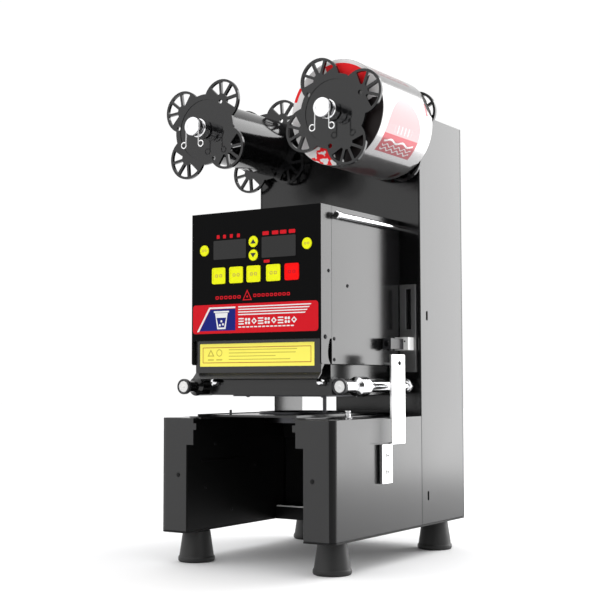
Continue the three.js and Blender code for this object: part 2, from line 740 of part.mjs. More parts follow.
function filmSensor() {
  const rear = towerFace - 2 * gap - bracket.thickness;
  const z0 = bracket.low + 29;
  return join(
    box(bracket.x + 1, bracket.x + 21, rear - 16, rear, z0, z0 + 17),
    box(bracket.x + 2, bracket.x + 14, rear - 50, rear - 15, z0 + 1, z0 + 15),
  );
}

const bar = { front: 137, rear: 172, low: deck - 33.5, high: headBottom + 13, thickness: 3 };

function sideBar() {
  const x0 = halfBase + gap;
  return join(
    box(x0, x0 + bar.thickness, bar.front, bar.rear, bar.low, bar.high),
    discX(1.6, (bar.front + bar.rear) / 2 - 2, bar.high - 12, halfBase - 16, x0 + 1, 10),
  );
}

const sideBlock = () => box(halfBase + gap, halfBase + 5.7, 102, 133, deck - 81, deck - 32.5);

// ---- assembly ----
const leftReel = -halfBase + reel.leftInset;
const rightReel = halfBase - reel.rightInset;
const degree = Math.PI / 180;

place("base_shell", baseShell(), finishes.charcoal);
place("bottom_plate", bottomPlate(), finishes.charcoal);
place("side_liner_left", sideLiner(-1), finishes.black);
place("side_liner_right", sideLiner(1), finishes.black);
const footX = halfBase - feet.inset;
place("foot_front_left", foot(-footX, feet.front), finishes.rubber);
place("foot_front_right", foot(footX, feet.front), finishes.rubber);
place("foot_rear_left", foot(-footX, towerRear - feet.rear), finishes.rubber);
place("foot_rear_right", foot(footX, towerRear - feet.rear), finishes.rubber);

place("tower_cover", towerCover(), finishes.charcoal);
place("tower_front", towerFront(), finishes.charcoal);
place("rear_cover", rearCover(), finishes.charcoal);
place("power_inlet", powerInlet(), finishes.black);
place("rocker_switch", rockerSwitch(), finishes.red);

place("head_shell", headShell(), finishes.charcoal);
place("front_cover", frontCover(), finishes.black);
place("control_board", controlBoard(), finishes.board);
place("safety_flap", safetyFlap(), finishes.charcoal);
keyRow.x.forEach((x, k) => {
  const last = k === keyRow.x.length - 1;
  place("key_" + (k + 1), squareKey(x), last ? finishes.red : finishes.yellow);
});
roundKeys.forEach((spot) => place(spot.name, roundKey(spot), finishes.yellow));

place("press_housing", pressHousing(), finishes.black);
place("film_plate", filmPlate(), finishes.aluminium);
place("heat_plate", heatPlate(), finishes.aluminium);
place("cutter_ring", cutterRing(), finishes.steel);
place("press_carriage", pressCarriage(), finishes.aluminium);
place("press_screw", pressScrew(), finishes.steel);
place("press_motor", pressMotor(), finishes.motor);
place("guide_column_left", guideColumn(-1), finishes.steel);
place("guide_column_right", guideColumn(1), finishes.steel);

place("tray", trayPlate(), finishes.charcoal);
place("cup_ring", cupRing(), finishes.aluminium);
place("tray_rail_left", trayRail(-1), finishes.steel);
place("tray_rail_right", trayRail(1), finishes.steel);
place("tray_pinion", trayPinion(), finishes.steel);
place("tray_motor", trayMotor(), finishes.motor);

[["takeup", leftReel, 52 * degree, 39], ["feed", rightReel, 25 * degree, 20]].forEach(([name, x, turn, reach]) => {
  place(name + "_shaft", reelShaft(x, towerFace + sheet + gap + reach - 1), finishes.steel);
  place(name + "_disc_front", reelDisc(x, frontDisc, turn), finishes.discGrey);
  place(name + "_disc_rear", reelDisc(x, rearDisc, turn), finishes.discGrey);
  place(name + "_knob", reelKnob(x), finishes.steel);
});
const windFrom = frontDisc + reel.disc + gap;
const windTo = rearDisc - gap;
place("takeup_core", sleeve(spool.radius, leftReel, windFrom, windTo, 32), finishes.black);
place(
  "film_roll",
  sleeve(film.radius, rightReel, film.centre - film.width / 2, film.centre + film.width / 2, 40),
  finishes.film,
);
place("takeup_motor", takeupMotor(leftReel), finishes.motor);

place("guide_roller_left", guideRoller(-1, roller.front, 50, 82), finishes.black);
place("guide_roller_right", guideRoller(1, roller.rightFront, 82, 104), finishes.steel);
place("upper_rod_left", upperRod(-1), finishes.steel);
place("upper_rod_right", upperRod(1), finishes.steel);
place("slotted_bracket", slottedBracket(), finishes.discGrey);
place("film_sensor", filmSensor(), finishes.aluminium);
place("side_bar", sideBar(), finishes.steel);
place("side_block", sideBlock(), finishes.steel);

// The origin is under the middle of the whole machine, on the surface that it stands on.
const bounds = new THREE.Box3().setFromObject(machine);
const centre = bounds.getCenter(new THREE.Vector3());
machine.position.set(-centre.x, -centre.y, -bounds.min.z);

export default group;
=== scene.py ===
import math

import bmesh
import bpy
from mathutils import Matrix, Vector


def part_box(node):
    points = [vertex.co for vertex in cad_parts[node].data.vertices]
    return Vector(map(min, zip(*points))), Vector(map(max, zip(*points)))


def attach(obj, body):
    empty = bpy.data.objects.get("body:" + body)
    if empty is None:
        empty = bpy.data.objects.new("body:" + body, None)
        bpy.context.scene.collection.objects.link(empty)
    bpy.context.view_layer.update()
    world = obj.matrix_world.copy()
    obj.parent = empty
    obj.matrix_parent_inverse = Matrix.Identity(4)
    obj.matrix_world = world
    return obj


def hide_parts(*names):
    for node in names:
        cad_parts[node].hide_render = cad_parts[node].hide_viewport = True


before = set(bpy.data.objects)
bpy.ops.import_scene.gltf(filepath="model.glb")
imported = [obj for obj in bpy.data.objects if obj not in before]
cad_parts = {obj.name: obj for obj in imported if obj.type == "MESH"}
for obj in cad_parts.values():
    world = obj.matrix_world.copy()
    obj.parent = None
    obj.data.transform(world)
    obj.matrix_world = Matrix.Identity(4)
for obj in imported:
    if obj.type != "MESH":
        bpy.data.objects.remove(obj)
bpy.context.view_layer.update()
print("frame loaded:", len(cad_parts), "nodes")

# Lengths are in millimetres: x from the tower's middle, y back from the base's front, z up.
mm = 0.001
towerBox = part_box("tower_cover")
origin = Vector(((towerBox[0].x + towerBox[1].x) / 2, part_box("base_shell")[0].y, 0))


def span(node):
    low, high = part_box(node)
    return (low - origin) / mm, (high - origin) / mm


view = {"place": (878.3, -1213.1, 230.9), "turn": 33.208, "tilt": 3.84, "roll": -0.102, "lens": 72.8}


def makeCamera():
    data = bpy.data.cameras.new("camera")
    data.lens = view["lens"]
    data.sensor_width = 36
    data.clip_start, data.clip_end = 0.05, 200
    camera = bpy.data.objects.new("camera", data)
    bpy.context.scene.collection.objects.link(camera)
    turn = Matrix.Rotation(math.radians(view["turn"]), 4, "Z")
    tilt = Matrix.Rotation(math.radians(90 + view["tilt"]), 4, "X")
    roll = Matrix.Rotation(math.radians(view["roll"]), 4, "Z")
    place = Matrix.Translation(origin + Vector(view["place"]) * mm)
    camera.matrix_world = place @ turn @ tilt @ roll
    bpy.context.scene.camera = camera


makeCamera()


class Wire:
    # one socket of a node tree; sums, products and powers add Math nodes

    def __init__(self, finish, socket):
        self.finish, self.socket = finish, socket

    def maths(self, operation, *values):
        return self.finish.maths(operation, *values)

    def __add__(self, other):
        return self.maths("ADD", self, other)

    __radd__ = __add__

    def __sub__(self, other):
        return self.maths("SUBTRACT", self, other)

    def __rsub__(self, other):
        return self.maths("SUBTRACT", other, self)

    def __mul__(self, other):
        return self.maths("MULTIPLY", self, other)

    __rmul__ = __mul__

    def __truediv__(self, other):
        return self.maths("DIVIDE", self, other)

    def __pow__(self, other):
        return self.maths("POWER", self, other)

    def __lt__(self, other):
        return self.maths("LESS_THAN", self, other)

    def __gt__(self, other):
        return self.maths("GREATER_THAN", self, other)


class Finish:
    # a material, or the world, and the few calls that build its nodes

    def __init__(self, name, tree=None):
        if tree is None:
            self.material = bpy.data.materials.new(name)
            self.material.use_nodes = True
            tree = self.material.node_tree
        self.tree = tree
        self.tree.nodes.clear()
        self.coordinates = self.add("ShaderNodeTexCoord")

    def add(self, kind, settings=None, sockets=None):
        node = self.tree.nodes.new(kind)
        for key, value in (settings or {}).items():
            if key == "stops":
                self.setStops(node.color_ramp, value)
            else:
                setattr(node, key, value)
        for key, value in (sockets or {}).items():
            if isinstance(value, Wire):
                self.tree.links.new(value.socket, node.inputs[key])
            else:
                node.inputs[key].default_value = value
        return node

    def setStops(self, ramp, stops):
        while len(ramp.elements) < len(stops):
            ramp.elements.new(1)
        for element, (position, color) in zip(ramp.elements, stops):
            element.position, element.color = position, (*color, 1)

    def out(self, node, key=0):
        return Wire(self, node.outputs[key])

    def maths(self, operation, *values):
        return self.out(self.add("ShaderNodeMath", {"operation": operation}, dict(enumerate(values))))

    def place(self, source="Object", scale=(1, 1, 1), shift=(0, 0, 0)):
        coordinate = self.out(self.coordinates, source)
        if tuple(scale) == (1, 1, 1) and tuple(shift) == (0, 0, 0):
            return coordinate
        sockets = {"Vector": coordinate, "Scale": scale, "Location": shift}
        return self.out(self.add("ShaderNodeMapping", None, sockets))

    def parts(self, vector):
        node = self.add("ShaderNodeSeparateXYZ", None, {0: vector})
        return [self.out(node, k) for k in range(3)]

    def noise(self, scale, detail=2, stretch=(1, 1, 1), source="Object"):
        sockets = {"Vector": self.place(source, stretch), "Scale": scale, "Detail": detail}
        return self.out(self.add("ShaderNodeTexNoise", None, sockets))

    def mix(self, factor, first, second):
        sockets = {0: factor, 6: first, 7: second}
        node = self.add("ShaderNodeMix", {"data_type": "RGBA"}, sockets)
        return self.out(node, 2)

    def bump(self, height, strength, depth):
        sockets = {"Height": height, "Strength": strength, "Distance": depth * mm}
        return self.out(self.add("ShaderNodeBump", None, sockets))

    def surface(self, sockets):
        shader = self.add("ShaderNodeBsdfPrincipled", None, sockets)
        self.add("ShaderNodeOutputMaterial", None, {"Surface": self.out(shader)})
        return self.material


def solidColor(color, scale=1.0):
    return (*[min(1, c * scale) for c in color], 1)


# Lacquered or moulded surfaces: a little mottling, and an orange peel too fine to count.
def coated(name, color, rough, peel=0.04, mottle=0.12, peelScale=520, extra=None):
    finish = Finish(name)
    broad = finish.noise(14, 3)
    fine = finish.noise(peelScale, 2)
    sockets = {
        "Base Color": finish.mix(broad, solidColor(color, 1 - mottle), solidColor(color, 1 + mottle)),
        "Roughness": broad * 0.08 + fine * 0.05 + (rough - 0.065),
        "Normal": finish.bump(fine, peel, 0.12),
    }
    sockets.update(extra or {})
    return finish.surface(sockets)


# Bright metal with a grain: the noise is drawn out along the way that it was ground or turned.
def metal(name, color, rough, grain, depth=0.02, extra=None):
    finish = Finish(name)
    lines = finish.noise(1, 4, grain)
    cloud = finish.noise(30, 2)
    sockets = {
        "Base Color": finish.mix(lines, solidColor(color, 0.93), solidColor(color, 1.04)),
        "Metallic": 1,
        "Roughness": lines * 0.10 + cloud * 0.06 + (rough - 0.08),
        "Normal": finish.bump(lines, 0.25, depth),
    }
    sockets.update(extra or {})
    return finish.surface(sockets)


# Black rubber with a fine moulded grain and a dusty bloom.
def rubbery(name, color):
    finish = Finish(name)
    grain = finish.noise(900, 3)
    bloom = finish.noise(45, 4)
    return finish.surface({
        "Base Color": finish.mix(bloom, solidColor(color, 0.75), solidColor(color, 1.6)),
        "Roughness": bloom * 0.2 + 0.42,
        "Normal": finish.bump(grain, 0.35, 0.15),
    })


filmPrint = {
    "repeats": 4, "phase": 60 / 360, "repeatLength": 106.0, "width": 132.0,
    "foot": 14.7, "bandTop": 40.6, "crown": 88.9, "middle": 58.5, "halfWidth": 43.5,
    "white": (0.27, 0.266, 0.266), "pink": (0.245, 0.14, 0.145), "red": (0.18, 0.012, 0.02),
}


# The wound film's outside: an arch over a red band with plain waves, and a register mark at each edge.
def printedFilm():
    v = filmPrint
    finish = Finish("printedFilm")
    around, along, _ = finish.parts(finish.place("UV"))
    s = finish.maths("FRACT", around * v["repeats"] + v["phase"] * v["repeats"]) * v["repeatLength"]
    t = along * v["width"]
    off = finish.maths("ABSOLUTE", t - v["middle"])
    rise = finish.maths("MAXIMUM", (s - v["bandTop"]) / (v["crown"] - v["bandTop"]), 0)
    reach = finish.maths("SQRT", finish.maths("MAXIMUM", 1 - rise * rise, 0)) * v["halfWidth"]
    arch = (off < reach) * (s > v["foot"]) * (s < v["crown"])
    band = arch * (s < v["bandTop"])
    waves = 0
    for level, wide, pitch in ((20, 1.0, 0.42), (25.5, 0.8, 0.42), (32, 1.3, 0.21)):
        line = finish.maths("ABSOLUTE", s - level - finish.maths("SINE", t * pitch) * 1.7)
        waves = finish.maths("MAXIMUM", waves, line < wide)
    waves = waves * (off < v["halfWidth"] - 7)
    rays = finish.maths("ABSOLUTE", finish.maths("PINGPONG", t - v["middle"], 9) - 4.5)
    rays = (rays < 0.8) * (s > v["bandTop"] + 3) * (s < v["bandTop"] + 13) * (off < 22)
    rearMark = (t > 114) * (t < 120) * (s > 79) * (s < 97)
    color = finish.mix(arch, solidColor(v["white"]), solidColor(v["pink"]))
    color = finish.mix(band, color, solidColor(v["red"]))
    color = finish.mix(finish.maths("MAXIMUM", waves * band, rays), color, solidColor(v["white"]))
    color = finish.mix(rearMark, color, solidColor(v["red"]))
    wrinkle = finish.noise(9, 3, (1, 5, 1))
    return finish.surface({
        "Base Color": color, "Metallic": 0.75, "Roughness": wrinkle * 0.12 + 0.1,
        "Normal": finish.bump(wrinkle, 0.08, 0.6), "Coat Weight": 0.15, "Coat Roughness": 0.06,
    })


# The roll's end: the edges of its turns, tinted where the printed band comes to the edge; the near-black sector on its
# right is painted shade from the flange, not ink.
def filmEdges():
    finish = Finish("filmEdges")
    around, radius, _ = finish.parts(finish.place("UV"))
    turns = finish.noise(1, 3, (3, 260, 1), "UV")
    wander = finish.noise(1, 2, (5, 7, 1), "UV")
    turn = finish.maths("FRACT", around + wander * 0.03)
    color = finish.mix(turns, (0.56, 0.54, 0.54, 1), (0.84, 0.82, 0.82, 1))
    inkTop = (turn > 0.125) * (turn < 0.305) * (radius < 0.93)
    inkMark = (turn > 0.42) * (turn < 0.465) * (radius > 0.93)
    patch = (turn > 0.66) * (turn < 0.76) * (finish.noise(1, 1, (30, 9, 1), "UV") > 0.5)
    red = finish.maths("MAXIMUM", finish.maths("MAXIMUM", inkTop, inkMark), patch)
    color = finish.mix(red, color, (0.75, 0.004, 0.008, 1))
    # painted shade: the right-hand sector of the end face, from about -86 to 18 degrees, is coloured near black for
    # the shade behind the flange
    paintedShadeSide = finish.maths("MAXIMUM", turn < 0.05, turn > 0.76)
    color = finish.mix(paintedShadeSide, color, (0.006, 0.003, 0.003, 1))
    return finish.surface({
        "Base Color": color, "Roughness": turns * 0.3 + 0.35, "Normal": finish.bump(turns, 0.4, 0.15),
        "Specular IOR Level": 0.2,
    })


# A green board with lighter tracks in a grid of runs.
def circuitBoard():
    finish = Finish("circuitBoard")
    x, _, z = finish.parts(finish.place())
    runs = finish.maths("PINGPONG", x + finish.noise(60, 0) * 0.01, 0.0025) < 0.0006
    cross = finish.maths("PINGPONG", z, 0.004) < 0.0007
    tracks = finish.maths("MAXIMUM", runs, cross)
    return finish.surface({
        "Base Color": finish.mix(tracks, (0.01, 0.09, 0.03, 1), (0.05, 0.26, 0.1, 1)),
        "Roughness": 0.45 - tracks * 0.15, "Normal": finish.bump(tracks, 0.3, 0.05),
    })


turnedGrain = {"y": (25, 2600, 25), "z": (25, 25, 2600), "x": (2600, 25, 25)}
finishes = {
    "casing": coated("casingCoat", (0.008, 0.008, 0.0084), 0.19, peel=0.02),
    "black": coated("blackCoat", (0.003, 0.003, 0.0032), 0.17, peel=0.02),
    "inside": coated("insideCoat", (0.003, 0.003, 0.0032), 0.42, extra={"Specular IOR Level": 0.2}),
    "panel": coated("panelBlack", (0.0016, 0.0016, 0.0018), 0.36, peel=0.02, extra={"Specular IOR Level": 0.045}),
    "gloss": coated("glossBlack", (0.006, 0.006, 0.0065), 0.075, peel=0.004),
    "window": coated("displayWindow", (0.006, 0.006, 0.006), 0.1, peel=0.01, extra={"Specular IOR Level": 0.32}),
    "yellow": coated("yellowKey", (0.8, 0.83, 0.001), 0.42, mottle=0.03, extra={"Specular IOR Level": 0.15}),
    "redKey": coated("redKey", (0.9, 0.002, 0.002), 0.4, mottle=0.04, extra={"Specular IOR Level": 0.08}),
    "redInk": coated("redInk", (0.58, 0.006, 0.014), 0.38, mottle=0.05, extra={"Specular IOR Level": 0.08}),
    "blueInk": coated("blueInk", (0.006, 0.012, 0.17), 0.38, mottle=0.06, extra={"Specular IOR Level": 0.1}),
    "whiteInk": coated("whiteInk", (0.74, 0.74, 0.74), 0.4, mottle=0.02),
    "label": coated("yellowLabel", (0.95, 0.86, 0.12), 0.4, mottle=0.03, extra={"Specular IOR Level": 0.25}),
    "ochre": coated("ochreInk", (0.42, 0.12, 0.01), 0.45, mottle=0.08),
    "paleOchre": coated("paleOchreInk", (0.52, 0.42, 0.03), 0.45, mottle=0.05),
    "steelY": metal("turnedSteelY", (0.83, 0.83, 0.84), 0.13, turnedGrain["y"]),
    "steelZ": metal("turnedSteelZ", (0.8, 0.8, 0.81), 0.16, turnedGrain["z"]),
    "steelX": metal("turnedSteelX", (0.8, 0.8, 0.81), 0.16, turnedGrain["x"]),
    "brushed": metal("brushedSteel", (0.86, 0.86, 0.86), 0.3, (900, 900, 12), depth=0.015),
    "aluminium": metal("milledAluminium", (0.74, 0.74, 0.75), 0.32, (500, 14, 500), depth=0.03),
    "anodised": metal("darkAnodised", (0.06, 0.06, 0.065), 0.3, (500, 14, 500), depth=0.03),
    "midSteel": metal("brushedBracket", (0.32, 0.32, 0.32), 0.36, (900, 900, 12), depth=0.02),
    "screw": metal("blackedScrew", (0.03, 0.03, 0.032), 0.32, (400, 400, 400)),
    "wire": metal("springWire", (0.9, 0.9, 0.9), 0.14, (200, 200, 200)),
    "rubber": rubbery("footRubber", (0.006, 0.006, 0.006)),
    "film": printedFilm(),
    "filmEdge": filmEdges(),
    "core": coated("windingCore", (0.004, 0.004, 0.0042), 0.13, peel=0.02),
    "card": coated("coreCard", (0.45, 0.36, 0.25), 0.8, peel=0.3, mottle=0.15, peelScale=240),
    "board": circuitBoard(),
    "motor": coated("motorCase", (0.02, 0.02, 0.022), 0.38, peel=0.08),
    "white": coated("whiteMoulding", (0.78, 0.78, 0.77), 0.35, mottle=0.03),
    "amber": coated("brassContact", (0.6, 0.42, 0.14), 0.3, extra={"Metallic": 1}),
}
print("finishes made:", len(finishes))


planes = {
    "plan": (Vector((1, 0, 0)), Vector((0, 1, 0)), Vector((0, 0, 1))),
    "front": (Vector((1, 0, 0)), Vector((0, 0, 1)), Vector((0, 1, 0))),
    "side": (Vector((0, 1, 0)), Vector((0, 0, 1)), Vector((1, 0, 0))),
}
turning = {"x": "side", "y": "front", "z": "plan"}


# An outline on a plane, with any holes, given its thickness from low to high.
def addOutline(bm, plane, points, low, high, holes=(), finish=0):
    across, up, along = planes[plane]
    edges = []
    for loop in (points, *holes):
        corners = [bm.verts.new(across * u + up * v + along * low) for u, v in loop]
        edges += [bm.edges.new((corners[k - 1], corners[k])) for k in range(len(corners))]
    if holes:
        filled = bmesh.ops.triangle_fill(bm, use_beauty=True, use_dissolve=False, edges=edges)["geom"]
        faces = [item for item in filled if isinstance(item, bmesh.types.BMFace)]
    else:
        faces = [bm.faces.new(corners)]
    made = bmesh.ops.extrude_face_region(bm, geom=faces, use_keep_orig=True)["geom"]
    verts = [item for item in made if isinstance(item, bmesh.types.BMVert)]
    bmesh.ops.translate(bm, vec=along * (high - low), verts=verts)
    for vert in {*verts, *[corner for face in faces for corner in face.verts]}:
        for face in vert.link_faces:
            face.material_index = finish
    return faces


def addBlock(bm, low, high, finish=0):
    made = bmesh.ops.create_cube(bm, size=1)["verts"]
    low, high = Vector(low), Vector(high)
    bmesh.ops.scale(bm, vec=high - low, verts=made)
    bmesh.ops.translate(bm, vec=(low + high) / 2, verts=made)
    for face in {face for vert in made for face in vert.link_faces}:
        face.material_index = finish
    return made


# A profile of (radius, distance along the axis) spun round that axis; closed joins its two ends.
def addTurned(bm, axis, centre, profile, steps=64, closed=False, finish=0):
    across, _, along = planes[turning[axis]]
    centre = Vector(centre)
    before = set(bm.faces)
    verts = [bm.verts.new(centre + across * radius + along * reach) for radius, reach in profile]
    edges = [bm.edges.new(pair) for pair in zip(verts, verts[1:])]
    if closed:
        edges.append(bm.edges.new((verts[-1], verts[0])))
    bmesh.ops.spin(
        bm, geom=verts + edges, cent=centre, axis=along, angle=2 * math.pi, steps=steps, use_merge=True,
    )
    made = [face for face in bm.faces if face not in before]
    for face in made:
        face.material_index = finish
    around = list({vert for face in made for vert in face.verts})
    bmesh.ops.remove_doubles(bm, verts=around, dist=0.0005)
    return [face for face in bm.faces if face not in before]


def addTube(bm, points, radius, finish=0, cyclic=False):
    curve = bpy.data.curves.new("path", "CURVE")
    curve.dimensions = "3D"
    curve.bevel_depth, curve.bevel_resolution, curve.use_fill_caps = radius, 3, True
    spline = curve.splines.new("POLY")
    spline.points.add(len(points) - 1)
    for point, place in zip(spline.points, points):
        point.co = (*place, 1)
    spline.use_cyclic_u = cyclic
    holder = bpy.data.objects.new("path", curve)
    mesh = bpy.data.meshes.new_from_object(holder)
    before = set(bm.faces)
    bm.from_mesh(mesh)
    made = [face for face in bm.faces if face not in before]
    for face in made:
        face.material_index = finish
    bmesh.ops.remove_doubles(bm, verts=list({v for face in made for v in face.verts}), dist=0.001)
    bpy.data.objects.remove(holder)
    bpy.data.meshes.remove(mesh)
    bpy.data.curves.remove(curve)


def arc(centre, radius, start, end, steps):
    turns = [math.radians(start + (end - start) * k / steps) for k in range(steps + 1)]
    return [(centre[0] + radius * math.cos(a), centre[1] + radius * math.sin(a)) for a in turns]


def circle(centre, radius, steps=32):
    return arc(centre, radius, 0, 360, steps)[:-1]


def rounded(u, v, radius, steps=5):
    corners = [((u[0], v[0]), 180), ((u[1], v[0]), 270), ((u[1], v[1]), 0), ((u[0], v[1]), 90)]
    points = []
    for (a, b), start in corners:
        inward = (a + radius * (1 if a == u[0] else -1), b + radius * (1 if b == v[0] else -1))
        points += arc(inward, radius, start, start + 90, steps)
    return points


def oneOf(low, high):
    return (min(low, high), max(low, high))


# A welded and cleaned copy of a CAD node's mesh, in millimetres.
def copyOf(*nodes):
    bm = bmesh.new()
    for node in nodes:
        bm.from_mesh(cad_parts[node].data)
    bmesh.ops.translate(bm, vec=-origin, verts=bm.verts)
    bmesh.ops.scale(bm, vec=(1 / mm,) * 3, verts=bm.verts)
    bmesh.ops.remove_doubles(bm, verts=bm.verts, dist=0.004)
    bmesh.ops.dissolve_limit(bm, angle_limit=math.radians(0.6), verts=bm.verts, edges=bm.edges)
    bmesh.ops.connect_verts_concave(bm, faces=bm.faces)  # so that a bevel can't tear a plate with holes
    for face in bm.faces:
        face.material_index = 0
    return bm


pieceCount = {"made": 0}


def finishPiece(name, bm, body, skins, replaces=(), bevel=0.4, segments=2, angle=32, recalc=True):
    if recalc:
        bmesh.ops.recalc_face_normals(bm, faces=bm.faces)
    bmesh.ops.scale(bm, vec=(mm,) * 3, verts=bm.verts)
    bmesh.ops.translate(bm, vec=origin, verts=bm.verts)
    mesh = bpy.data.meshes.new(name)
    bm.to_mesh(mesh)
    bm.free()
    skins = [skins] if isinstance(skins, str) else skins
    for skin in skins:
        mesh.materials.append(finishes[skin])
    mesh.polygons.foreach_set("use_smooth", [True] * len(mesh.polygons))
    piece = bpy.data.objects.new(name, mesh)
    bpy.context.scene.collection.objects.link(piece)
    if bevel:
        softener = piece.modifiers.new("softened", "BEVEL")
        softener.width, softener.segments = bevel * mm, segments
        softener.limit_method, softener.angle_limit = "ANGLE", math.radians(angle)
        softener.miter_outer = "MITER_ARC"
    else:
        mesh.set_sharp_from_angle(angle=math.radians(angle))
    evener = piece.modifiers.new("evened", "WEIGHTED_NORMAL")
    evener.weight, evener.keep_sharp = 60, True
    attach(piece, body)
    if replaces:
        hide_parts(*replaces)
    pieceCount["made"] += 1
    return piece


screw = {"head": 0.9, "slot": 0.32, "length": 0.62}


# A cross-headed screw whose head stands on a face at the given place; facing is +1 or -1 along the axis.
def addScrew(bm, axis, place, radius, facing, finish=0, dark=1):
    across, up, along = planes[turning[axis]]
    place = Vector(place)
    height = screw["head"] * radius * 0.6 * facing
    profile = [(0, 0), (radius, 0), (radius, height * 0.45), (radius * 0.72, height * 0.85), (0, height)]
    addTurned(bm, axis, place, profile, steps=20, finish=finish)
    # The cross is two thin blocks in the dark finish rather than a cut slot; where that finish is darker than the
    # head, as on the hinge block, it is painted shade for the recess.
    reach, half = screw["length"] * radius, screw["slot"] * radius / 2
    low, high = oneOf(height * 0.6, height * 1.06)
    for first, second in ((reach, half), (half, reach)):
        corners = [place + across * u * first + up * v * second for u, v in ((-1, -1), (1, 1))]
        ends = [corners[0] + along * low, corners[1] + along * high]
        addBlock(bm, [min(a, b) for a, b in zip(*ends)], [max(a, b) for a, b in zip(*ends)], dark)


base = {
    "edge": 0.9, "side": 130, "screwX": 101, "screwZ": 113, "screwRadius": 3.1,
    "lipHighlightBar": {"half": 86, "y": (199.2, 202.6), "z": (57.3, 58.9)},
    "stud": {"x": 100, "y": 84, "radius": 3.7, "height": 10},
}


def makeBase():
    bm = copyOf("base_shell")
    low, high = span("base_shell")
    for face in bm.faces:
        c = face.calc_center_median()
        inner = abs(c.x) < base["side"] - 0.5 and low.y + 0.5 < c.y < high.y - 0.5 and c.z < high.z - 0.5
        face.material_index = 1 if inner else 0
    finishPiece("baseCasing", bm, "machine", ["casing", "inside"], ["base_shell"], base["edge"], 3)
    bm = copyOf("bottom_plate")
    finishPiece("bottomPan", bm, "machine", "inside", ["bottom_plate"], 0.3)
    for side in ("left", "right"):
        node = "side_liner_" + side
        bm = copyOf(node)
        low, high = span(node)
        inner = high.x if side == "left" else low.x
        facing = 1 if side == "left" else -1
        for y, z in ((40, 95), (96, 62), (150, 118), (60, 150)):
            addScrew(bm, "x", (inner, y, z), 2.2, facing, 1, 1)
        rib = oneOf(inner, inner + 1.2 * facing)
        addBlock(bm, (rib[0], 30, 128), (rib[1], 120, 130), 0)
        finishPiece("innerLiner_" + side, bm, "machine", ["inside", "screw"], [node], 0.25)
    # Painted highlight: a thin white bar with two small domes along the top of the rear cross plate's lip stands in
    # for the bright edge that the lip shows in the light.
    glintBar = base["lipHighlightBar"]
    bm = bmesh.new()
    addBlock(bm, (-glintBar["half"], glintBar["y"][0], glintBar["z"][0]), (glintBar["half"], glintBar["y"][1], glintBar["z"][1]))
    for x in (-glintBar["half"] + 6, glintBar["half"] - 6):
        addTurned(bm, "z", (x, sum(glintBar["y"]) / 2, glintBar["z"][1]), [(0, 0), (1.1, 0), (0.8, 0.5), (0, 0.6)], 12)
    finishPiece("paintedLipHighlight", bm, "machine", "white", (), 0.35)
    bm = bmesh.new()
    for x in (-base["screwX"], base["screwX"]):
        addScrew(bm, "y", (x, 0.6, base["screwZ"]), base["screwRadius"], -1)
    finishPiece("cheekScrews", bm, "machine", ["inside", "inside"], (), 0.15)
    stud = base["stud"]
    deck = span("base_shell")[1].z
    r, h = stud["radius"], stud["height"]
    profile = [(0, 0.02), (r + 1.6, 0.02), (r + 1.6, 1), (r, 1.6), (r, h * 0.6), (r - 0.8, h * 0.66),
               (r - 0.8, h * 0.74), (r, h * 0.8), (r, h - 0.6), (r - 0.6, h), (0, h)]
    bm = bmesh.new()
    addTurned(bm, "z", (stud["x"], stud["y"], deck), profile, 32)
    finishPiece("deckStud", bm, "machine", "steelZ", (), 0.15)


foot = {"lip": 2.4, "lipHeight": 6.5}


# A tapered rubber foot: a rounded lip at the floor, a straight taper and a flat top against the pan.
def makeFeet():
    for where in ("front_left", "front_right", "rear_left", "rear_right"):
        node = "foot_" + where
        low, high = span(node)
        centre = ((low.x + high.x) / 2, (low.y + high.y) / 2, low.z)
        bottom = (high.x - low.x) / 2
        top = bottom * 0.742
        height = high.z - low.z
        profile = [
            (0, 0.9), (bottom - 7, 0.9), (bottom - 6, 0), (bottom - 2.4, 0), (bottom - 0.8, 0.7),
            (bottom, 2.4), (bottom, foot["lipHeight"] - 1.5), (bottom - 0.5, foot["lipHeight"]),
            (bottom - 1.5, foot["lipHeight"] + 1.2), (top + 0.2, height - 1.2), (top - 0.8, height), (0, height),
        ]
        bm = bmesh.new()
        addTurned(bm, "z", centre, profile, 72)
        finishPiece("footCone_" + where, bm, "machine", "rubber", [node], 0.45, 2)


sideFittings = {"barScrew": 3.0, "blockScrews": (0.3, 0.72), "blockScrew": 3.4, "blockShadeLayer": 2.2}


def makeSideFittings():
    bm = copyOf("side_bar")
    low, high = span("side_bar")
    face = high.x
    middle = (low.y + high.y) / 2
    addScrew(bm, "x", (face, middle + 3, high.z - 11), sideFittings["barScrew"], 1, 1, 1)
    finishPiece("steelBar", bm, "machine", ["brushed", "screw"], ["side_bar"], 0.5, 2)
    low, high = span("side_block")
    bm = bmesh.new()
    lip = sideFittings["blockShadeLayer"]
    addOutline(bm, "side", rounded((low.y + 5, high.y), (low.z, high.z), 1.2), low.x + lip, high.x)
    # Painted shade: the back layer, in the black coat and a millimetre further forward than the brushed block, draws
    # the dark of the block's shaded front side.
    addOutline(bm, "side", rounded((low.y + 4, high.y), (low.z, high.z), 1.2), low.x, low.x + lip - 0.05, finish=2)
    # Brushed heads with crosses in the blacked finish: the dark crosses are painted shade for the slot recesses.
    for share in sideFittings["blockScrews"]:
        z = low.z + (high.z - low.z) * share
        addScrew(bm, "x", (high.x, (low.y + high.y) / 2 + 1.5, z), sideFittings["blockScrew"], 1, 0, 1)
    finishPiece("hingeBlock", bm, "machine", ["brushed", "screw", "black"], ["side_block"], 0.3)


makeBase()
makeFeet()
makeSideFittings()
print("base made")


tower = {"edge": 0.8, "rearScrews": 2.6}


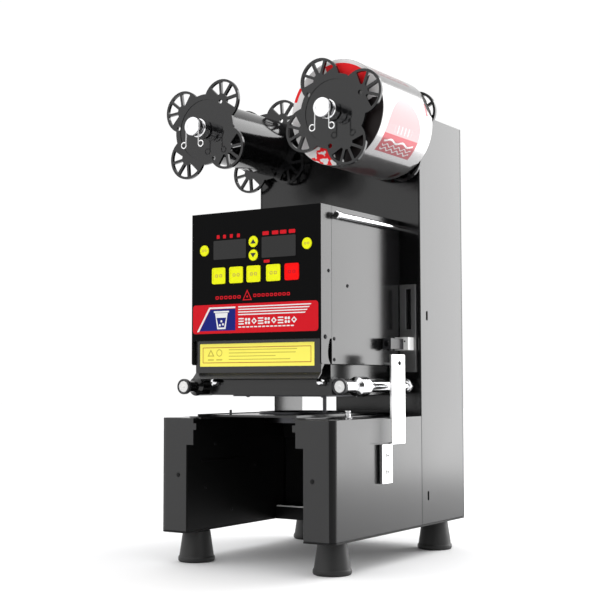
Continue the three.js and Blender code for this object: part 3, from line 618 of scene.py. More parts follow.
def makeTower():
    bm = copyOf("tower_cover")
    finishPiece("towerCasing", bm, "machine", "casing", ["tower_cover"], tower["edge"], 3)
    bm = copyOf("tower_front")
    finishPiece("towerFace", bm, "machine", "black", ["tower_front"], 0.3)
    bm = copyOf("rear_cover")
    low, high = span("rear_cover")
    for x in (low.x + 9, high.x - 9):
        for share in (0.03, 0.5, 0.97):
            z = low.z + (high.z - low.z) * share
            addScrew(bm, "y", (x, high.y, z), tower["rearScrews"], 1, 1, 1)
    finishPiece("rearPanel", bm, "machine", ["casing", "screw"], ["rear_cover"], 0.5)
    bm = copyOf("power_inlet")
    low, high = span("power_inlet")
    middle = (low.x + high.x) / 2
    floorY = high.y - 15.5
    for x, z in ((middle - 6, 88), (middle, 92.5), (middle + 6, 88)):
        addBlock(bm, (x - 1, floorY, z - 2), (x + 1, high.y - 5, z + 2), 1)
    finishPiece("mainsInlet", bm, "machine", ["motor", "amber"], ["power_inlet"], 0.4)
    bm = copyOf("rocker_switch")
    low, high = span("rocker_switch")
    y = high.y - 0.4
    for share in (0.24, 0.78):
        z = low.z + (high.z - low.z) * share
        addBlock(bm, ((low.x + high.x) / 2 - 2, y - 0.4, z - 0.3), ((low.x + high.x) / 2 + 2, y + 0.35, z + 0.3), 1)
    finishPiece("mainsRocker", bm, "rocker_switch", ["redKey", "whiteInk"], ["rocker_switch"], 0.4)
    bm = copyOf("takeup_motor")
    low, high = span("takeup_motor")
    centre = ((low.x + high.x) / 2, 0, (low.z + high.z) / 2)
    for y in (low.y + 14, low.y + 30, high.y - 8):
        addTurned(bm, "y", (centre[0], y, centre[2]), [(17.4, 0), (17.9, 0.4), (17.9, 1.2), (17.4, 1.6)], 48, True)
    finishPiece("windingMotor", bm, "machine", "motor", ["takeup_motor"], 0.4)


makeTower()
print("tower made")


head = {"edge": 0.7, "sideScrews": ((86, 350), (54, 283), (54, 257.5)), "seamScrew": (41.4, 366), "screw": 2.3}


def makeHead():
    bm = copyOf("head_shell")
    low, high = span("head_shell")
    for y, z in head["sideScrews"]:
        addScrew(bm, "x", (high.x, y, z), head["screw"], 1, 1, 1)
        addScrew(bm, "x", (low.x, y, z), head["screw"], -1, 1, 1)
    finishPiece("headCasing", bm, "machine", ["casing", "screw"], ["head_shell"], head["edge"], 3)
    bm = copyOf("front_cover")
    low, high = span("front_cover")
    for face in bm.faces:
        front = face.normal.y < -0.9 and abs(face.calc_center_median().y - low.y) < 0.2
        face.material_index = 1 if front else 0
    y, z = head["seamScrew"]
    for side, facing in ((high.x, 1), (low.x, -1)):
        addScrew(bm, "x", (side, y, z), head["screw"], facing, 2, 2)
        addScrew(bm, "x", (side, 33.5, 285), head["screw"] + 0.5, facing, 2, 2)
    skins = ["casing", "panel", "screw"]
    finishPiece("controlCover", bm, "machine", skins, ["front_cover"], head["edge"], 3)
    bm = copyOf("control_board")
    low, high = span("control_board")
    for x in (-70, -48, -20, 8, 34, 62):
        addBlock(bm, (x - 5, low.y - 1.2, low.z + 26), (x + 5, low.y + 0.1, low.z + 34), 1)
        addBlock(bm, (x - 2, high.y - 0.1, low.z + 44), (x + 7, high.y + 3, low.z + 58), 1)
    for x in (-80, 80):
        for z in (low.z + 5, high.z - 5):
            addTurned(bm, "y", (x, high.y, z), [(0, 0), (2.6, 0), (2.6, 3), (0, 3)], 16, finish=2)
    finishPiece("controlCircuit", bm, "machine", ["board", "motor", "brushed"], ["control_board"], 0.1)


panel = {
    "y": 24.0, "proud": 0.16,
    "left": ((-64, -12.8), (386.6, 411)), "right": ((11.4, 62.4), (385, 411.4)),
    "marks": {"z": (413.4, 418.2), "left": (-56.6, -46.5, -35.8, -24.6), "right": (17.4, 31.8, 44, 57)},
    "band": ((-97, 95), (292, 329)), "corner": 4,
}


# Smoked windows over the two read-outs, each in a thin raised frame.
def makeDisplays():
    for name in ("left", "right"):
        (x0, x1), (z0, z1) = panel[name]
        bm = bmesh.new()
        y = panel["y"]
        addOutline(bm, "front", rounded((x0, x1), (z0, z1), 1.5), y - 0.3, y + 0.02)
        hole = rounded((x0 + 0.1, x1 - 0.1), (z0 + 0.1, z1 - 0.1), 1.4)
        rim = rounded((x0 - 1.2, x1 + 1.2), (z0 - 1.2, z1 + 1.2), 2)
        addOutline(bm, "front", rim, y - 0.14, y + 0.02, [hole], 1)
        finishPiece("display_" + name, bm, "machine", ["window", "panel"], (), 0.08, 1)


# A flat printed shape on the panel's face; level lifts a shape that lies over another.
def addInk(bm, points, finish, level=0, holes=()):
    y = panel["y"] - panel["proud"] - level * 0.12
    addOutline(bm, "front", points, y, panel["y"] + 0.02, holes, finish)


def bar(x, z, width, height, radius=None):
    radius = min(width, height) * 0.3 if radius is None else radius
    return rounded((x - width / 2, x + width / 2), (z - height / 2, z + height / 2), radius, 3)


# Plain tiles in a row, of bars, small squares or a diamond, stand where a title line would be.
def addOrnament(bm, x, z, size, count, pitch, finish, level):
    half, thin = size / 2, size * 0.2
    for k in range(count):
        cx = x + pitch * k
        kind = k % 3
        if kind == 0:
            for lift in (-1, 0, 1):
                addInk(bm, bar(cx, z + lift * (half - thin / 2), size, thin), finish, level)
        elif kind == 1:
            for a, b in ((-1, -1), (1, -1), (-1, 1), (1, 1)):
                addInk(bm, bar(cx + a * size * 0.27, z + b * size * 0.27, size * 0.4, size * 0.4), finish, level)
        else:
            addInk(bm, circle((cx, z), half, 4), finish, level, [circle((cx, z), half * 0.5, 4)])


def makePanelPrint():
    bm = bmesh.new()
    (x0, x1), (z0, z1) = panel["band"]
    red, blue, white = 0, 1, 2
    addInk(bm, rounded((x0, x1), (z0, z1), panel["corner"]), red)
    slant = [(-86, 295.5), (-29, 295.5), (-29, 323), (-68.5, 323)]
    addInk(bm, slant, blue, 1)
    edge = [(-90, 294.5), (-87, 294.5), (-69, 323.6), (-29, 323.6), (-29, 325.6), (-70.5, 325.6)]
    addInk(bm, edge, white, 2)
    cup = [(-61, 318), (-41, 318), (-44.5, 297.5), (-57.5, 297.5)]
    addInk(bm, cup, white, 2, [[(-58.6, 312), (-43.4, 312), (-46.4, 299.6), (-55.6, 299.6)]])
    addInk(bm, [(-63, 318.6), (-39, 318.6), (-39, 320.6), (-63, 320.6)], white, 2)
    for x, z in ((-53.5, 302.5), (-48.5, 303.5), (-51, 307.5)):
        addInk(bm, circle((x, z), 1.5, 14), white, 2)
    for k, end in enumerate((85.5, 83, 80, 77)):
        z = 325 - k * 3.3
        addInk(bm, [(-24.5, z - 0.7), (end - 1.5, z - 0.7), (end, z + 0.7), (-24.5, z + 0.7)], white, 2)
    addOrnament(bm, -20, 306.6, 8.2, 9, 10, white, 2)
    for k in range(14):
        addInk(bm, bar(-22 + k * 6.1, 299.4, 4.6, 1.5), white, 2)
    finishPiece("titleBand", bm, "machine", ["redInk", "blueInk", "whiteInk"], (), 0)

    bm = bmesh.new()
    marks = panel["marks"]
    for x in marks["left"]:
        addInk(bm, rounded((x - 2.3, x + 2.3), marks["z"], 0.9, 3), 0)
    for x in marks["right"]:
        addInk(bm, rounded((x - 4.8, x + 4.8), marks["z"], 0.9, 3), 0)
    addInk(bm, bar(19, 380.6, 9, 3.8), 0)
    outer = [(-18, 333), (-3.5, 333), (-10.75, 346.5)]
    inner = [(-16, 334.2), (-5.5, 334.2), (-10.75, 344)]
    addInk(bm, outer, 0, 0, [inner])
    addInk(bm, circle((-10.75, 337.6), 1.4, 16), 0)
    for k in range(6):
        addInk(bm, bar(-58 + k * 6.9, 337.6, 5.2, 4.2), 0, 0, [bar(-58 + k * 6.9, 337.6, 2.8, 1.8)])
    for k in range(9):
        addInk(bm, bar(1 + k * 6.3, 338.6, 4.8, 4), 0, 0, [bar(1 + k * 6.3, 338.6, 2.6, 1.7)])
    finishPiece("panelMarks", bm, "machine", "redInk", (), 0)


keys = {"dish": 0.35, "icon": 0.1}


# A membrane key: a rounded plate with a shallow dished middle and a plain mark.
def makeKeys():
    for k in range(1, 6):
        node = "key_" + str(k)
        low, high = span(node)
        x, z = (low.x + high.x) / 2, (low.z + high.z) / 2
        bm = bmesh.new()
        outer = rounded((low.x, high.x), (low.z, high.z), 2.4)
        dish = rounded((low.x + 1.6, high.x - 1.6), (low.z + 1.6, high.z - 1.6), 1.6)
        addOutline(bm, "front", outer, low.y, low.y + 1.2, [dish])
        addOutline(bm, "front", outer, low.y + 1.2, high.y)
        addOutline(bm, "front", dish, low.y + keys["dish"], low.y + 1.25)
        face = low.y + keys["dish"]
        for side in (-1, 1):
            cx = x + side * 3.2
            hole = [bar(cx, z, 2.4, 2)] if (k + side) % 2 else [circle((cx, z), 1.1, 12)]
            addOutline(bm, "front", bar(cx, z, 4.6, 4.2), face - keys["icon"], face + 0.02, hole, 1)
        skins = ["redKey", "redInk"] if k == 5 else ["yellow", "paleOchre"]
        finishPiece("button_" + str(k), bm, node, skins, [node], 0.22)
    for node in ("key_up", "key_down", "key_left", "key_right"):
        low, high = span(node)
        x, z = (low.x + high.x) / 2, (low.z + high.z) / 2
        r = (high.x - low.x) / 2
        bm = bmesh.new()
        addTurned(bm, "y", (x, 0, z), [
            (0, low.y + 0.3), (r - 2.2, low.y + 0.3), (r - 1.6, low.y), (r - 0.6, low.y), (r, low.y + 0.6),
            (r, high.y), (0, high.y),
        ], 48)
        face = low.y + 0.3
        if node in ("key_up", "key_down"):
            flip = 1 if node == "key_up" else -1
            arrow = [(x - 4.3, z - 2.6 * flip), (x + 4.3, z - 2.6 * flip), (x, z + 3.1 * flip)]
            addOutline(bm, "front", arrow, face - keys["icon"], face + 0.02, (), 1)
            skins = ["yellow", "gloss"]
        else:
            for side in (-1, 1):
                addOutline(bm, "front", bar(x + side * 2.1, z, 3.2, 3), face - 0.1, face + 0.02,
                           [bar(x + side * 2.1, z, 1.6, 1.2)], 1)
            skins = ["yellow", "paleOchre"]
        finishPiece("button_" + node[4:], bm, node, skins, [node], 0.15)


flap = {"label": ((-89, 86), (250, 279)), "face": 29.0, "border": 4.4, "line": 0.9}


def makeFlap():
    bm = copyOf("safety_flap")
    finishPiece("guardFlap", bm, "safety_flap", "casing", ["safety_flap"], 0.25)
    face = flap["face"]
    (x0, x1), (z0, z1) = flap["label"]
    bm = bmesh.new()

    def ink(points, finish, level, holes=()):
        addOutline(bm, "front", points, face - 0.14 - level * 0.1, face + 0.02, holes, finish)

    ink(rounded((x0, x1), (z0, z1), 0.8), 0, 0)
    b, t = flap["border"], flap["line"]
    ink(rounded((x0 + b, x1 - b), (z0 + b, z1 - b), 0.6), 1, 1,
           [rounded((x0 + b + t, x1 - b - t), (z0 + b + t, z1 - b - t), 0.4)])
    cutout = [(x0 + 14.4, 264.3), (x0 + 20.6, 264.3), (x0 + 17.5, 269.6)]
    ink([(x0 + 12, 263), (x0 + 23, 263), (x0 + 17.5, 272)], 2, 1, [cutout])
    ink(circle((x0 + 31, 267.4), 4.6, 28), 2, 1, [circle((x0 + 31, 267.4), 3.6, 28)])
    for x in (x0 + 17.5, x0 + 31):
        ink(bar(x, 258.6, 9.5, 1.5), 2, 1)
    for k, (start, end) in enumerate(((46, 150), (46, 148), (46, 118), (46, 140))):
        z = 271.2 - k * 4.1
        ink(rounded((x0 + start, x0 + end), (z - 0.45, z + 0.45), 0.3, 2), 2, 1)
    finishPiece("guardLabel", bm, "safety_flap", ["label", "ochre", "paleOchre"], (), 0)


makeHead()
makeDisplays()
makePanelPrint()
makeKeys()
makeFlap()
print("head made")


press = {"thread": 10.0, "stud": 4.6, "studX": 81.5, "studZ": 230}


def middleOf(node):
    low, high = span(node)
    return (low + high) / 2


def makePress():
    bm = copyOf("press_housing")
    finishPiece("pressFrame", bm, "machine", "black", ["press_housing"], 0.6)
    low, high = span("press_housing")
    bm = bmesh.new()
    r = press["stud"]
    for x in (-press["studX"], press["studX"]):
        profile = [
            (0, -2.2), (2.6, -2), (4, -1.2), (r + 0.3, 0.2), (r + 0.3, 6), (r - 0.9, 7), (r - 0.9, 8.1), (0, 8.1),
        ]
        addTurned(bm, "y", (x, low.y - 0.2, press["studZ"]), profile, 32)
    finishPiece("frameStuds", bm, "machine", "steelY", (), 0.2)
    bm = copyOf("film_plate")
    finishPiece("filmPlate", bm, "machine", "anodised", ["film_plate"], 0.2)
    bm = bmesh.new()
    for x, y in ((-58, 92), (58, 92), (-62, 188), (62, 188)):
        addScrew(bm, "z", (x, y, 211.7), 2.4, -1, 0, 0)
    finishPiece("plateScrews", bm, "machine", ["screw"], (), 0.1)
    x, y, _ = middleOf("heat_plate")
    low, high = span("heat_plate")
    r = (high.x - low.x) / 2
    bm = bmesh.new()
    addTurned(bm, "z", (x, y, 0), [
        (0, low.z + 0.8), (r - 12, low.z + 0.8), (r - 11, low.z), (r - 1, low.z), (r, low.z + 1),
        (r, high.z - 4), (r - 1.4, high.z - 3.4), (r - 1.4, high.z - 1), (r - 2, high.z), (0, high.z),
    ], 96)
    finishPiece("heatPlaten", bm, "press", "aluminium", ["heat_plate"], 0.25)
    low, high = span("cutter_ring")
    outer = (high.x - low.x) / 2
    inner = 49.2
    teeth = [
        (inner, low.z + 1), (inner + 1.6, low.z), (inner + 2.2, low.z + 0.4), (outer, low.z + 4), (outer, high.z - 2),
        (outer - 1, high.z), (18, high.z), (16, high.z - 1), (16, high.z - 4), (inner, high.z - 4),
    ]
    bm = bmesh.new()
    addTurned(bm, "z", (x, y, 0), teeth, 96, True)
    for k in range(6):
        a = math.radians(30 + 60 * k)
        addScrew(bm, "z", (x + 32 * math.cos(a), y + 32 * math.sin(a), high.z), 2.6, 1, 1, 1)
    finishPiece("cutterBell", bm, "press", ["steelZ", "screw"], ["cutter_ring"], 0.2)
    bm = copyOf("press_carriage")
    finishPiece("pressBridge", bm, "press", "aluminium", ["press_carriage"], 0.5)
    low, high = span("press_screw")
    r = (high.x - low.x) / 2
    bm = bmesh.new()
    addTurned(bm, "z", (x, y, 0), [(0, low.z), (r - 1.3, low.z), (r - 1.3, high.z), (0, high.z)], 32)
    pitch = press["thread"] / 2
    rings = int((high.z - low.z - 34) / pitch)
    for k in range(rings):
        z = low.z + 2 + k * pitch
        ridge = [(r - 1.35, 0), (r, 0.9), (r, 2), (r - 1.35, 2.9)]
        addTurned(bm, "z", (x, y, z), ridge, 24, True)
    finishPiece("leadScrew", bm, "press_screw", "steelZ", ["press_screw"], 0.12, 1)
    bm = copyOf("press_motor")
    low, high = span("press_motor")
    for z in (high.z - 44, high.z - 34, high.z - 10):
        addTurned(bm, "z", (x, y, z), [(30.8, 0), (31.6, 0.6), (31.6, 3), (30.8, 3.6)], 64, True)
    for dx in (-80, 80):
        for dy in (-50, 60):
            addScrew(bm, "z", (dx, y + dy, low.z + 6), 3.2, 1, 1, 1)
    finishPiece("pressDrive", bm, "machine", ["motor", "screw"], ["press_motor"], 0.5)
    for side in ("left", "right"):
        node = "guide_column_" + side
        low, high = span(node)
        c = middleOf(node)
        r = (high.x - low.x) / 2
        bm = bmesh.new()
        addTurned(bm, "z", (c.x, c.y, 0), [
            (0, low.z), (r - 0.8, low.z), (r, low.z + 0.8), (r, low.z + 14), (r - 0.5, low.z + 14.4),
            (r - 0.5, low.z + 15.6), (r, low.z + 16), (r, high.z - 1), (r - 1, high.z), (0, high.z),
        ], 48)
        finishPiece("guidePost_" + side, bm, "machine", "steelZ", [node], 0.15)


def makeTray():
    bm = copyOf("tray")
    finishPiece("slideTray", bm, "tray", "casing", ["tray"], 0.35)
    c = middleOf("cup_ring")
    low, high = span("cup_ring")
    flange = (high.x - low.x) / 2
    bore = 46
    wall = 54.5
    top = high.z
    under = 189.3
    bm = bmesh.new()
    addTurned(bm, "z", (c.x, c.y, 0), [
        (bore, low.z), (wall, low.z), (wall, under), (flange, under), (flange, top - 0.4), (flange - 0.5, top),
        (bore + 5, top), (bore + 3.8, top - 0.7), (bore + 0.8, top - 1.4), (bore, top - 2.4),
    ], 96, True)
    finishPiece("cupHolder", bm, "tray", "anodised", ["cup_ring"], 0.2)
    for side in ("left", "right"):
        node = "tray_rail_" + side
        bm = copyOf(node)
        finishPiece("slideRail_" + side, bm, "machine", "casing", [node], 0.3)
    bm = copyOf("tray_pinion")
    finishPiece("drivePinion", bm, "tray_pinion", "steelX", ["tray_pinion"], 0.2)
    bm = copyOf("tray_motor")
    low, high = span("tray_motor")
    cx, cy = (low.x + high.x) / 2, (low.y + high.y) / 2
    for z in (low.z + 6, low.z + 40):
        addTurned(bm, "z", (cx, cy, z), [(14.9, 0), (15.4, 0.4), (15.4, 1.6), (14.9, 2)], 48, True)
    addTurned(bm, "z", (cx, cy, low.z), [(0, -3), (4, -3), (4.6, -2.4), (4.6, 0.1), (0, 0.1)], 32, finish=1)
    finishPiece("trayDrive", bm, "machine", ["motor", "brushed"], ["tray_motor"], 0.4)


makePress()
makeTray()
print("press and tray made")


disc = {
    "main": 48, "lobeAt": 46, "lobe": 28.5, "rim": 3.4, "spoke": 3.6, "windowFrom": 9, "soften": 1.4,
    "hole": 3, "holeAt": 44, "bore": 6.4, "dish": 40.6, "sink": 0.8, "turn": {"takeup": 52, "feed": 25},
}


def softCorners(points, radius, steps=4):
    made = []
    for k, corner in enumerate(points):
        corner = Vector(corner)
        before, after = Vector(points[k - 1]) - corner, Vector(points[(k + 1) % len(points)]) - corner
        if before.angle(after) > math.radians(150):
            made.append(tuple(corner))
            continue
        cut = min(radius, before.length * 0.45, after.length * 0.45)
        start, end = corner + before.normalized() * cut, corner + after.normalized() * cut
        for j in range(steps + 1):
            t = j / steps
            made.append(tuple(start * (1 - t) ** 2 + corner * 2 * t * (1 - t) + end * t ** 2))
    return made


# The flange's outline is a circle with four lobes; each lobe has four windows between its spokes.
def flowerOutline(centre, turn):
    main, at, r = disc["main"], disc["lobeAt"], disc["lobe"]
    along = (main * main - r * r + at * at) / (2 * at)
    across = math.sqrt(main * main - along * along)
    meet = math.degrees(math.atan2(across, along - at))
    mainMeet = math.degrees(math.atan2(across, along))
    outline, windows = [], []
    for lobe in range(4):
        angle = turn + 90 * lobe
        a = math.radians(angle)
        middle = (centre[0] + at * math.cos(a), centre[1] + at * math.sin(a))
        outline += arc(middle, r, angle - meet, angle + meet, 40)[:-1]
        outline += arc(centre, main, angle + mainMeet, angle + 90 - mainMeet, 6)[:-1]
        low, high = disc["windowFrom"], r - disc["rim"]
        step = meet * 1.64 / 4
        for pane in range(4):
            face = angle - meet * 0.82 + step * (pane + 0.5)
            inner = max(math.degrees(math.radians(step) / 2 - disc["spoke"] / 2 / low), 3)
            outer = math.degrees(math.radians(step) / 2 - disc["spoke"] / 2 / high)
            window = arc(middle, low, face + inner, face - inner, 2)
            window += arc(middle, high, face - outer, face + outer, 10)
            windows.append(softCorners(window, disc["soften"]))
    for k in range(3):
        a = math.radians(turn + 120 * k)
        hole = (centre[0] + disc["holeAt"] * math.cos(a), centre[1] + disc["holeAt"] * math.sin(a))
        windows.append(circle(hole, disc["hole"], 24))
    return outline, windows


# One plate with its windows cut through, and a round dish sunk into the face that looks outwards.
def makeDisc(reel, where):
    node = reel + "_disc_" + where
    low, high = span(node)
    shaft = middleOf(reel + "_shaft")
    outline, windows = flowerOutline((shaft.x, shaft.z), disc["turn"][reel])
    back, front = (high.y, low.y) if where == "front" else (low.y, high.y)
    bm = bmesh.new()

    def edgesOf(points):
        corners = [bm.verts.new((x, back, z)) for x, z in points]
        return [bm.edges.new((corners[k - 1], corners[k])) for k in range(len(corners))]

    def fill(edges):
        made = bmesh.ops.triangle_fill(bm, use_beauty=True, use_dissolve=False, edges=edges)["geom"]
        return [item for item in made if isinstance(item, bmesh.types.BMFace)]

    dish = edgesOf(circle((shaft.x, shaft.z), disc["dish"], 96))
    cut = [edge for window in windows for edge in edgesOf(window)]
    plate = fill(edgesOf(outline) + cut + dish)
    middle = fill(dish + edgesOf(circle((shaft.x, shaft.z), disc["bore"], 40)))
    raised = bmesh.ops.extrude_face_region(bm, geom=plate + middle)["geom"]
    verts = [item for item in raised if isinstance(item, bmesh.types.BMVert)]
    bmesh.ops.translate(bm, vec=(0, front - back, 0), verts=verts)
    reach = disc["dish"] + 0.01
    inside = [item for item in raised if isinstance(item, bmesh.types.BMFace) and all(
        math.hypot(v.co.x - shaft.x, v.co.z - shaft.z) < reach for v in item.verts)]
    sunk = bmesh.ops.extrude_face_region(bm, geom=inside)["geom"]
    verts = [item for item in sunk if isinstance(item, bmesh.types.BMVert)]
    bmesh.ops.translate(bm, vec=(0, math.copysign(disc["sink"], back - front), 0), verts=verts)
    bmesh.ops.delete(bm, geom=[face for face in inside if face.is_valid], context="FACES")
    finishPiece("reelFlange_" + reel + "_" + where, bm, reel + "_reel", "gloss", [node], 0.26)


knob = {
    "cap": 12.1, "lip": 1.0, "clip": (1.0, 2.6), "clipDepth": 2.7, "body": 9.6, "neck": 8.7, "neckEnd": 12.8,
    "ring": 12.6, "wire": 0.8, "legs": 10.2, "drop": 23, "loop": 3.9,
}


# A turned knob: a lip, a groove for the spring clip, a thick cap, a neck and a ring against the flange.
def makeKnob(reel):
    node = reel + "_knob"
    low, high = span(node)
    shaft = middleOf(reel + "_shaft")
    k = knob
    y, cap, ring = low.y, k["cap"], k["ring"]
    profile = [
        (0, y + 0.3), (cap - 4.6, y + 0.3), (cap - 4.2, y), (cap - 0.8, y), (cap, y + 0.5), (cap, y + k["clip"][0]),
        (cap - k["clipDepth"], y + k["clip"][0] + 0.1), (cap - k["clipDepth"], y + k["clip"][1]),
        (cap, y + k["clip"][1] + 0.1), (cap, y + k["body"] - 0.6), (cap - 0.6, y + k["body"]),
        (k["neck"], y + k["body"] + 0.2), (k["neck"], y + k["neckEnd"]), (ring - 1, y + k["neckEnd"] + 0.4),
        (ring, y + k["neckEnd"] + 1.4), (ring, high.y - 1.2), (ring - 0.8, high.y - 0.2), (ring - 3, high.y),
        (0, high.y),
    ]
    bm = bmesh.new()
    addTurned(bm, "y", (shaft.x, 0, shaft.z), profile, 96)
    finishPiece("reelKnob_" + reel, bm, reel + "_reel", "steelY", [node], 0.25, 3)
    bm = bmesh.new()
    turn = y + (k["clip"][0] + k["clip"][1]) / 2
    legs, drop, loop = k["legs"], k["drop"], k["loop"]
    coil = arc((legs + loop, -drop - loop * 0.35), loop, 160, 160 + 330, 24)
    half = coil[::-1] + [(legs, -drop * 0.62), (legs - 0.2, 0)]
    over = arc((0, 0), legs - 0.2, 0, 180, 28)
    points = half + over + [(-u, v) for u, v in half[::-1]]
    route = [(shaft.x + u, turn, shaft.z + v) for u, v in points]
    addTube(bm, route, k["wire"])
    finishPiece("springClip_" + reel, bm, reel + "_reel", "wire", (), 0, angle=50)


def makeShafts():
    for reel in ("takeup", "feed"):
        node = reel + "_shaft"
        low, high = span(node)
        c = middleOf(node)
        bore = disc["bore"] - 0.4
        boss = span(reel + "_disc_rear")[1].y + 0.3
        face = span("tower_front")[0].y - 0.3
        bm = bmesh.new()
        addTurned(bm, "y", (c.x, 0, c.z), [
            (0, low.y), (bore - 0.6, low.y), (bore, low.y + 0.6), (bore, boss), (13.4, boss), (14, boss + 0.6),
            (14, face - 0.6), (13.4, face), (bore, face), (bore, high.y - 0.6), (bore - 0.6, high.y), (0, high.y),
        ], 64)
        for turn in (0, 120, 240):
            a = math.radians(turn)
            place = (c.x + 10 * math.cos(a), boss, c.z + 10 * math.sin(a))
            addScrew(bm, "y", place, 1.4, -1, 1, 1)
        finishPiece("reelShaft_" + reel, bm, reel + "_reel", ["steelY", "screw"], [node], 0.2)
        makeDisc(reel, "front")
        makeDisc(reel, "rear")
        makeKnob(reel)


film = {"edgeRound": 0.5, "core": 11.5}


# Around and along for a wound surface: u follows the turn, v follows the width or the radius.
def unroll(bm, faces, centre, low, width, radius):
    layer = bm.loops.layers.uv.verify()
    for face in faces:
        middle = face.calc_center_median()
        home = math.atan2(middle.z - centre[1], middle.x - centre[0]) / math.tau
        for loop in face.loops:
            place = loop.vert.co
            out = math.hypot(place.x - centre[0], place.z - centre[1])
            turn = math.atan2(place.z - centre[1], place.x - centre[0]) / math.tau
            turn += round(home - turn)
            flat = face.material_index == 1
            loop[layer].uv = (turn, out / radius if flat else (place.y - low) / width)


def makeWound():
    low, high = span("takeup_core")
    c = middleOf("takeup_core")
    r = high.z - c.z
    bm = bmesh.new()
    addTurned(bm, "y", (c.x, 0, c.z), [
        (6.4, low.y), (9.5, low.y), (9.5, low.y + 3), (r - 4, low.y + 3), (r - 3.4, low.y), (r - 0.5, low.y),
        (r, low.y + 0.5), (r, high.y - 0.5), (r - 0.5, high.y), (r - 3.4, high.y), (r - 4, high.y - 3),
        (9.5, high.y - 3), (9.5, high.y), (6.4, high.y),
    ], 128, True)
    finishPiece("windingCore", bm, "takeup_reel", "core", ["takeup_core"], 0.3)
    low, high = span("film_roll")
    c = middleOf("film_roll")
    r = high.z - c.z
    bm = bmesh.new()
    edge = film["edgeRound"]
    addTurned(bm, "y", (c.x, 0, c.z), [
        (r - edge, low.y), (r, low.y + edge), (r, high.y - edge), (r - edge, high.y),
        (film["core"] + 4, high.y + 0), (film["core"] + 4, low.y),
    ], 144, True)
    for face in bm.faces:
        flat = abs(face.normal.y) > 0.9
        face.material_index = 1 if flat else 0
    unroll(bm, bm.faces, (c.x, c.z), low.y, high.y - low.y, r)
    finishPiece("filmRoll", bm, "feed_reel", ["film", "filmEdge"], ["film_roll"], 0, angle=50)
    bm = bmesh.new()
    addTurned(bm, "y", (c.x, 0, c.z), [
        (6.4, low.y - 0.6), (film["core"] + 3.8, low.y - 0.6), (film["core"] + 3.8, high.y + 0.6), (6.4, high.y + 0.6),
    ], 64, True)
    finishPiece("filmCore", bm, "feed_reel", "card", (), 0.4)


roller = {"left": (50, 82), "right": (82, 104), "body": 7.4, "collar": 12.3, "ring": 10, "cap": 7.5}


def makeGuides():
    for side in ("left", "right"):
        node = "guide_roller_" + side
        low, high = span(node)
        c = middleOf(node)
        start, end = roller[side]
        r, collar, ring = roller["body"], roller["collar"], roller["ring"]
        face = span("tower_front")[0].y - 0.3
        y = low.y
        bm = bmesh.new()
        addTurned(bm, "y", (c.x, 0, c.z), [
            (0, y + 7), (r, y + 7), (r, start - 2.5), (collar - 0.8, start), (collar, start + 0.8),
            (collar, end - 0.8), (collar - 0.8, end), (r, end + 2.5), (r, face - 14), (r + 2.5, face - 13.4),
            (r + 2.5, face - 10), (4.6, face - 9.6), (4.6, high.y - 0.6), (4, high.y), (0, high.y),
        ], 64)
        addTurned(bm, "y", (c.x, 0, c.z), [
            (roller["cap"], y + 0.6), (ring - 1, y), (ring, y + 1), (ring, y + 5.6), (ring - 0.8, y + 6.6),
            (roller["cap"], y + 6.6),
        ], 64, True, finish=1)
        addTurned(bm, "y", (c.x, 0, c.z), [
            (0, y + 0.3), (1.6, y + 0.3), (2, y + 1), (roller["cap"] - 0.7, y + 1), (roller["cap"] - 0.1, y + 1.4),
            (roller["cap"] - 0.1, y + 7), (0, y + 7),
        ], 48, finish=2)
        # Both roller bodies are chrome: the right one is turned steel, the left one gets the gloss black coat as
        # painted reflection, for the dark that it mirrors.
        body = "gloss" if side == "left" else "steelY"
        finishPiece("idler_" + side, bm, "guide_roller_" + side, [body, "motor", "white"], [node], 0.25)
    for side in ("left", "right"):
        node = "upper_rod_" + side
        low, high = span(node)
        c = middleOf(node)
        cap = high.z - c.z
        r = 3.6
        bm = bmesh.new()
        addTurned(bm, "y", (c.x, 0, c.z), [
            (0, low.y), (cap - 1, low.y), (cap, low.y + 0.8), (cap, low.y + 6), (r, low.y + 7.6), (r, high.y),
            (0, high.y),
        ], 48)
        finishPiece("guideRod_" + side, bm, "machine", "steelY", [node], 0.2)
    nutY = span("tower_front")[1].y
    for side in ("left", "right"):
        c = middleOf("guide_roller_" + side)
        bm = bmesh.new()
        washer = [(4.8, nutY + 0.1), (10, nutY + 0.1), (10, nutY + 1.4), (4.8, nutY + 1.4)]
        addTurned(bm, "y", (c.x, 0, c.z), washer, 40, True)
        hexagon = circle((c.x, c.z), 8.4, 6)
        addOutline(bm, "front", hexagon, nutY + 1.5, nutY + 7, [circle((c.x, c.z), 4.8, 32)])
        finishPiece("axleNut_" + side, bm, "machine", "brushed", (), 0.3)
    bm = copyOf("slotted_bracket")
    finishPiece("sensorBracket", bm, "machine", "midSteel", ["slotted_bracket"], 0.35)
    low, high = span("film_sensor")
    bm = copyOf("film_sensor")
    plate = low.y + (high.y - low.y) * 0.68
    for face in bm.faces:
        face.material_index = 0 if face.calc_center_median().y > plate - 1 else 1
    for x in (low.x + 9, low.x + 15):
        dot = [(0, -0.5), (1, -0.5), (1.2, -0.2), (1.2, 0.6), (0, 0.6)]
        addTurned(bm, "y", (x, plate, high.z - 5.5), dot, 16, finish=2)
    finishPiece("filmEye", bm, "film_sensor", ["white", "motor", "screw"], ["film_sensor"], 0.5)
    bm = bmesh.new()
    addTurned(bm, "z", (low.x + 7, low.y + 8, low.z), [(0, -1.2), (2.6, -1.2), (3.2, -0.6), (3.2, 1.1), (0, 1.1)], 32)
    addTurned(bm, "y", (low.x + 7, low.y, low.z + 8), [(0, -0.8), (3.4, -0.8), (4, -0.2), (4, 0.1), (0, 0.1)], 32)
    finishPiece("filmEyeLens", bm, "film_sensor", "gloss", (), 0.1)


makeShafts()
makeWound()
makeGuides()
print("reels and film path made,", pieceCount["made"], "pieces")


def dressNodes():
    for name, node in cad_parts.items():
        node.data.materials.clear()
        node.data.materials.append(finishes["casing"])


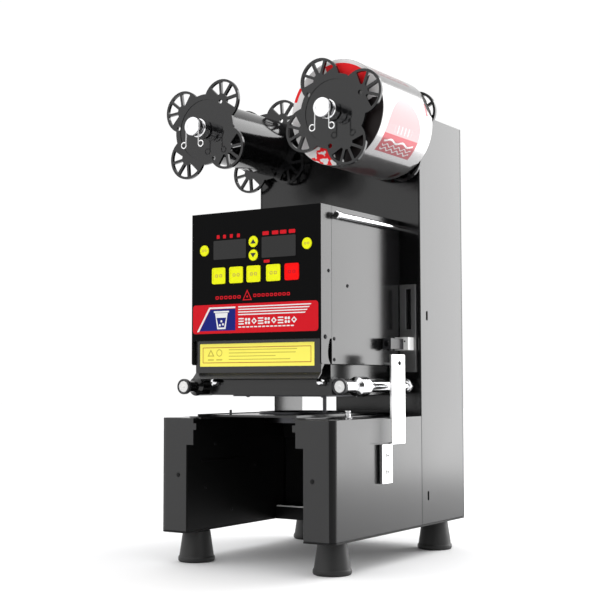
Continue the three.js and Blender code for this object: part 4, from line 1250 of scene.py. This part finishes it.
dressNodes()


studio = {
    "floor": (0.9, 0.9, 0.905), "ambient": 1.0, "frontLeft": 1.3, "dark": 0.05, "overhead": 1.7,
    "darkFrom": (0.60, -0.78, 0.1), "leftFrom": (-0.6, -0.8, 0.15),
    "box": {"azimuth": 28, "distance": 1.5, "width": 1.0, "height": 1.7, "lift": 0.0, "radiance": 3.7},
}


def makeFloor():
    bm = bmesh.new()
    bmesh.ops.create_grid(bm, x_segments=2, y_segments=2, size=8)
    mesh = bpy.data.meshes.new("floor")
    bm.to_mesh(mesh)
    bm.free()
    finish = Finish("paleFloor")
    cloud = finish.noise(2, 2)
    mesh.materials.append(finish.surface({
        "Base Color": finish.mix(cloud, solidColor(studio["floor"], 0.99), solidColor(studio["floor"])),
        "Roughness": 0.7, "Specular IOR Level": 0.2,
    }))
    floor = bpy.data.objects.new("floor", mesh)
    bpy.context.scene.collection.objects.link(floor)


def makeWorld():
    world = bpy.data.worlds.new("studio")
    bpy.context.scene.world = world
    world.use_nodes = True
    finish = Finish("studio", world.node_tree)
    direction = finish.out(finish.coordinates, "Generated")

    def towards(way):
        way = Vector(way).normalized()
        node = finish.add("ShaderNodeVectorMath", {"operation": "DOT_PRODUCT"}, {0: direction, 1: tuple(way)})
        return finish.out(node, 1)

    def ramp(value, low, high):
        sockets = {"Value": value, "From Min": low, "From Max": high, "To Min": 0.0, "To Max": 1.0}
        node = finish.add("ShaderNodeMapRange", {"interpolation_type": "SMOOTHSTEP"}, sockets)
        return finish.out(node)

    left = ramp(towards(studio["leftFrom"]), 0.55, 0.95)
    dark = ramp(towards(studio["darkFrom"]), 0.84, 0.95)
    above = ramp(towards((0, 0, 1)), 0.55, 0.9)
    level = left * (studio["frontLeft"] - studio["ambient"]) + studio["ambient"]
    level = level + above * (studio["overhead"] - studio["ambient"])
    level = level * (1 - dark * (1 - studio["dark"]))
    camera = finish.out(finish.add("ShaderNodeLightPath"), "Is Camera Ray")
    level = level * (1 - camera) + camera * 1.02
    light = finish.add("ShaderNodeBackground", None, {"Color": (1, 1, 1, 1), "Strength": level})
    finish.add("ShaderNodeOutputWorld", None, {"Surface": finish.out(light)})


def makeSoftbox():
    box = studio["box"]
    data = bpy.data.lights.new("softbox", "AREA")
    data.shape = "RECTANGLE"
    data.size, data.size_y = box["width"], box["height"]
    data.energy = box["radiance"] * math.pi * box["width"] * box["height"]
    lamp = bpy.data.objects.new("softbox", data)
    bpy.context.scene.collection.objects.link(lamp)
    a = math.radians(box["azimuth"])
    place = Vector((math.sin(a), math.cos(a), 0)) * box["distance"] + Vector((0, 0, box["lift"] + box["height"] / 2))
    aim = Vector((0, 0, 0.45)) - place
    aim.z = 0
    lamp.matrix_world = Matrix.Translation(place) @ aim.to_track_quat("-Z", "Y").to_matrix().to_4x4()
    lamp.visible_camera = False


makeFloor()
makeWorld()
makeSoftbox()
bpy.context.scene.view_settings.view_transform = "Standard"
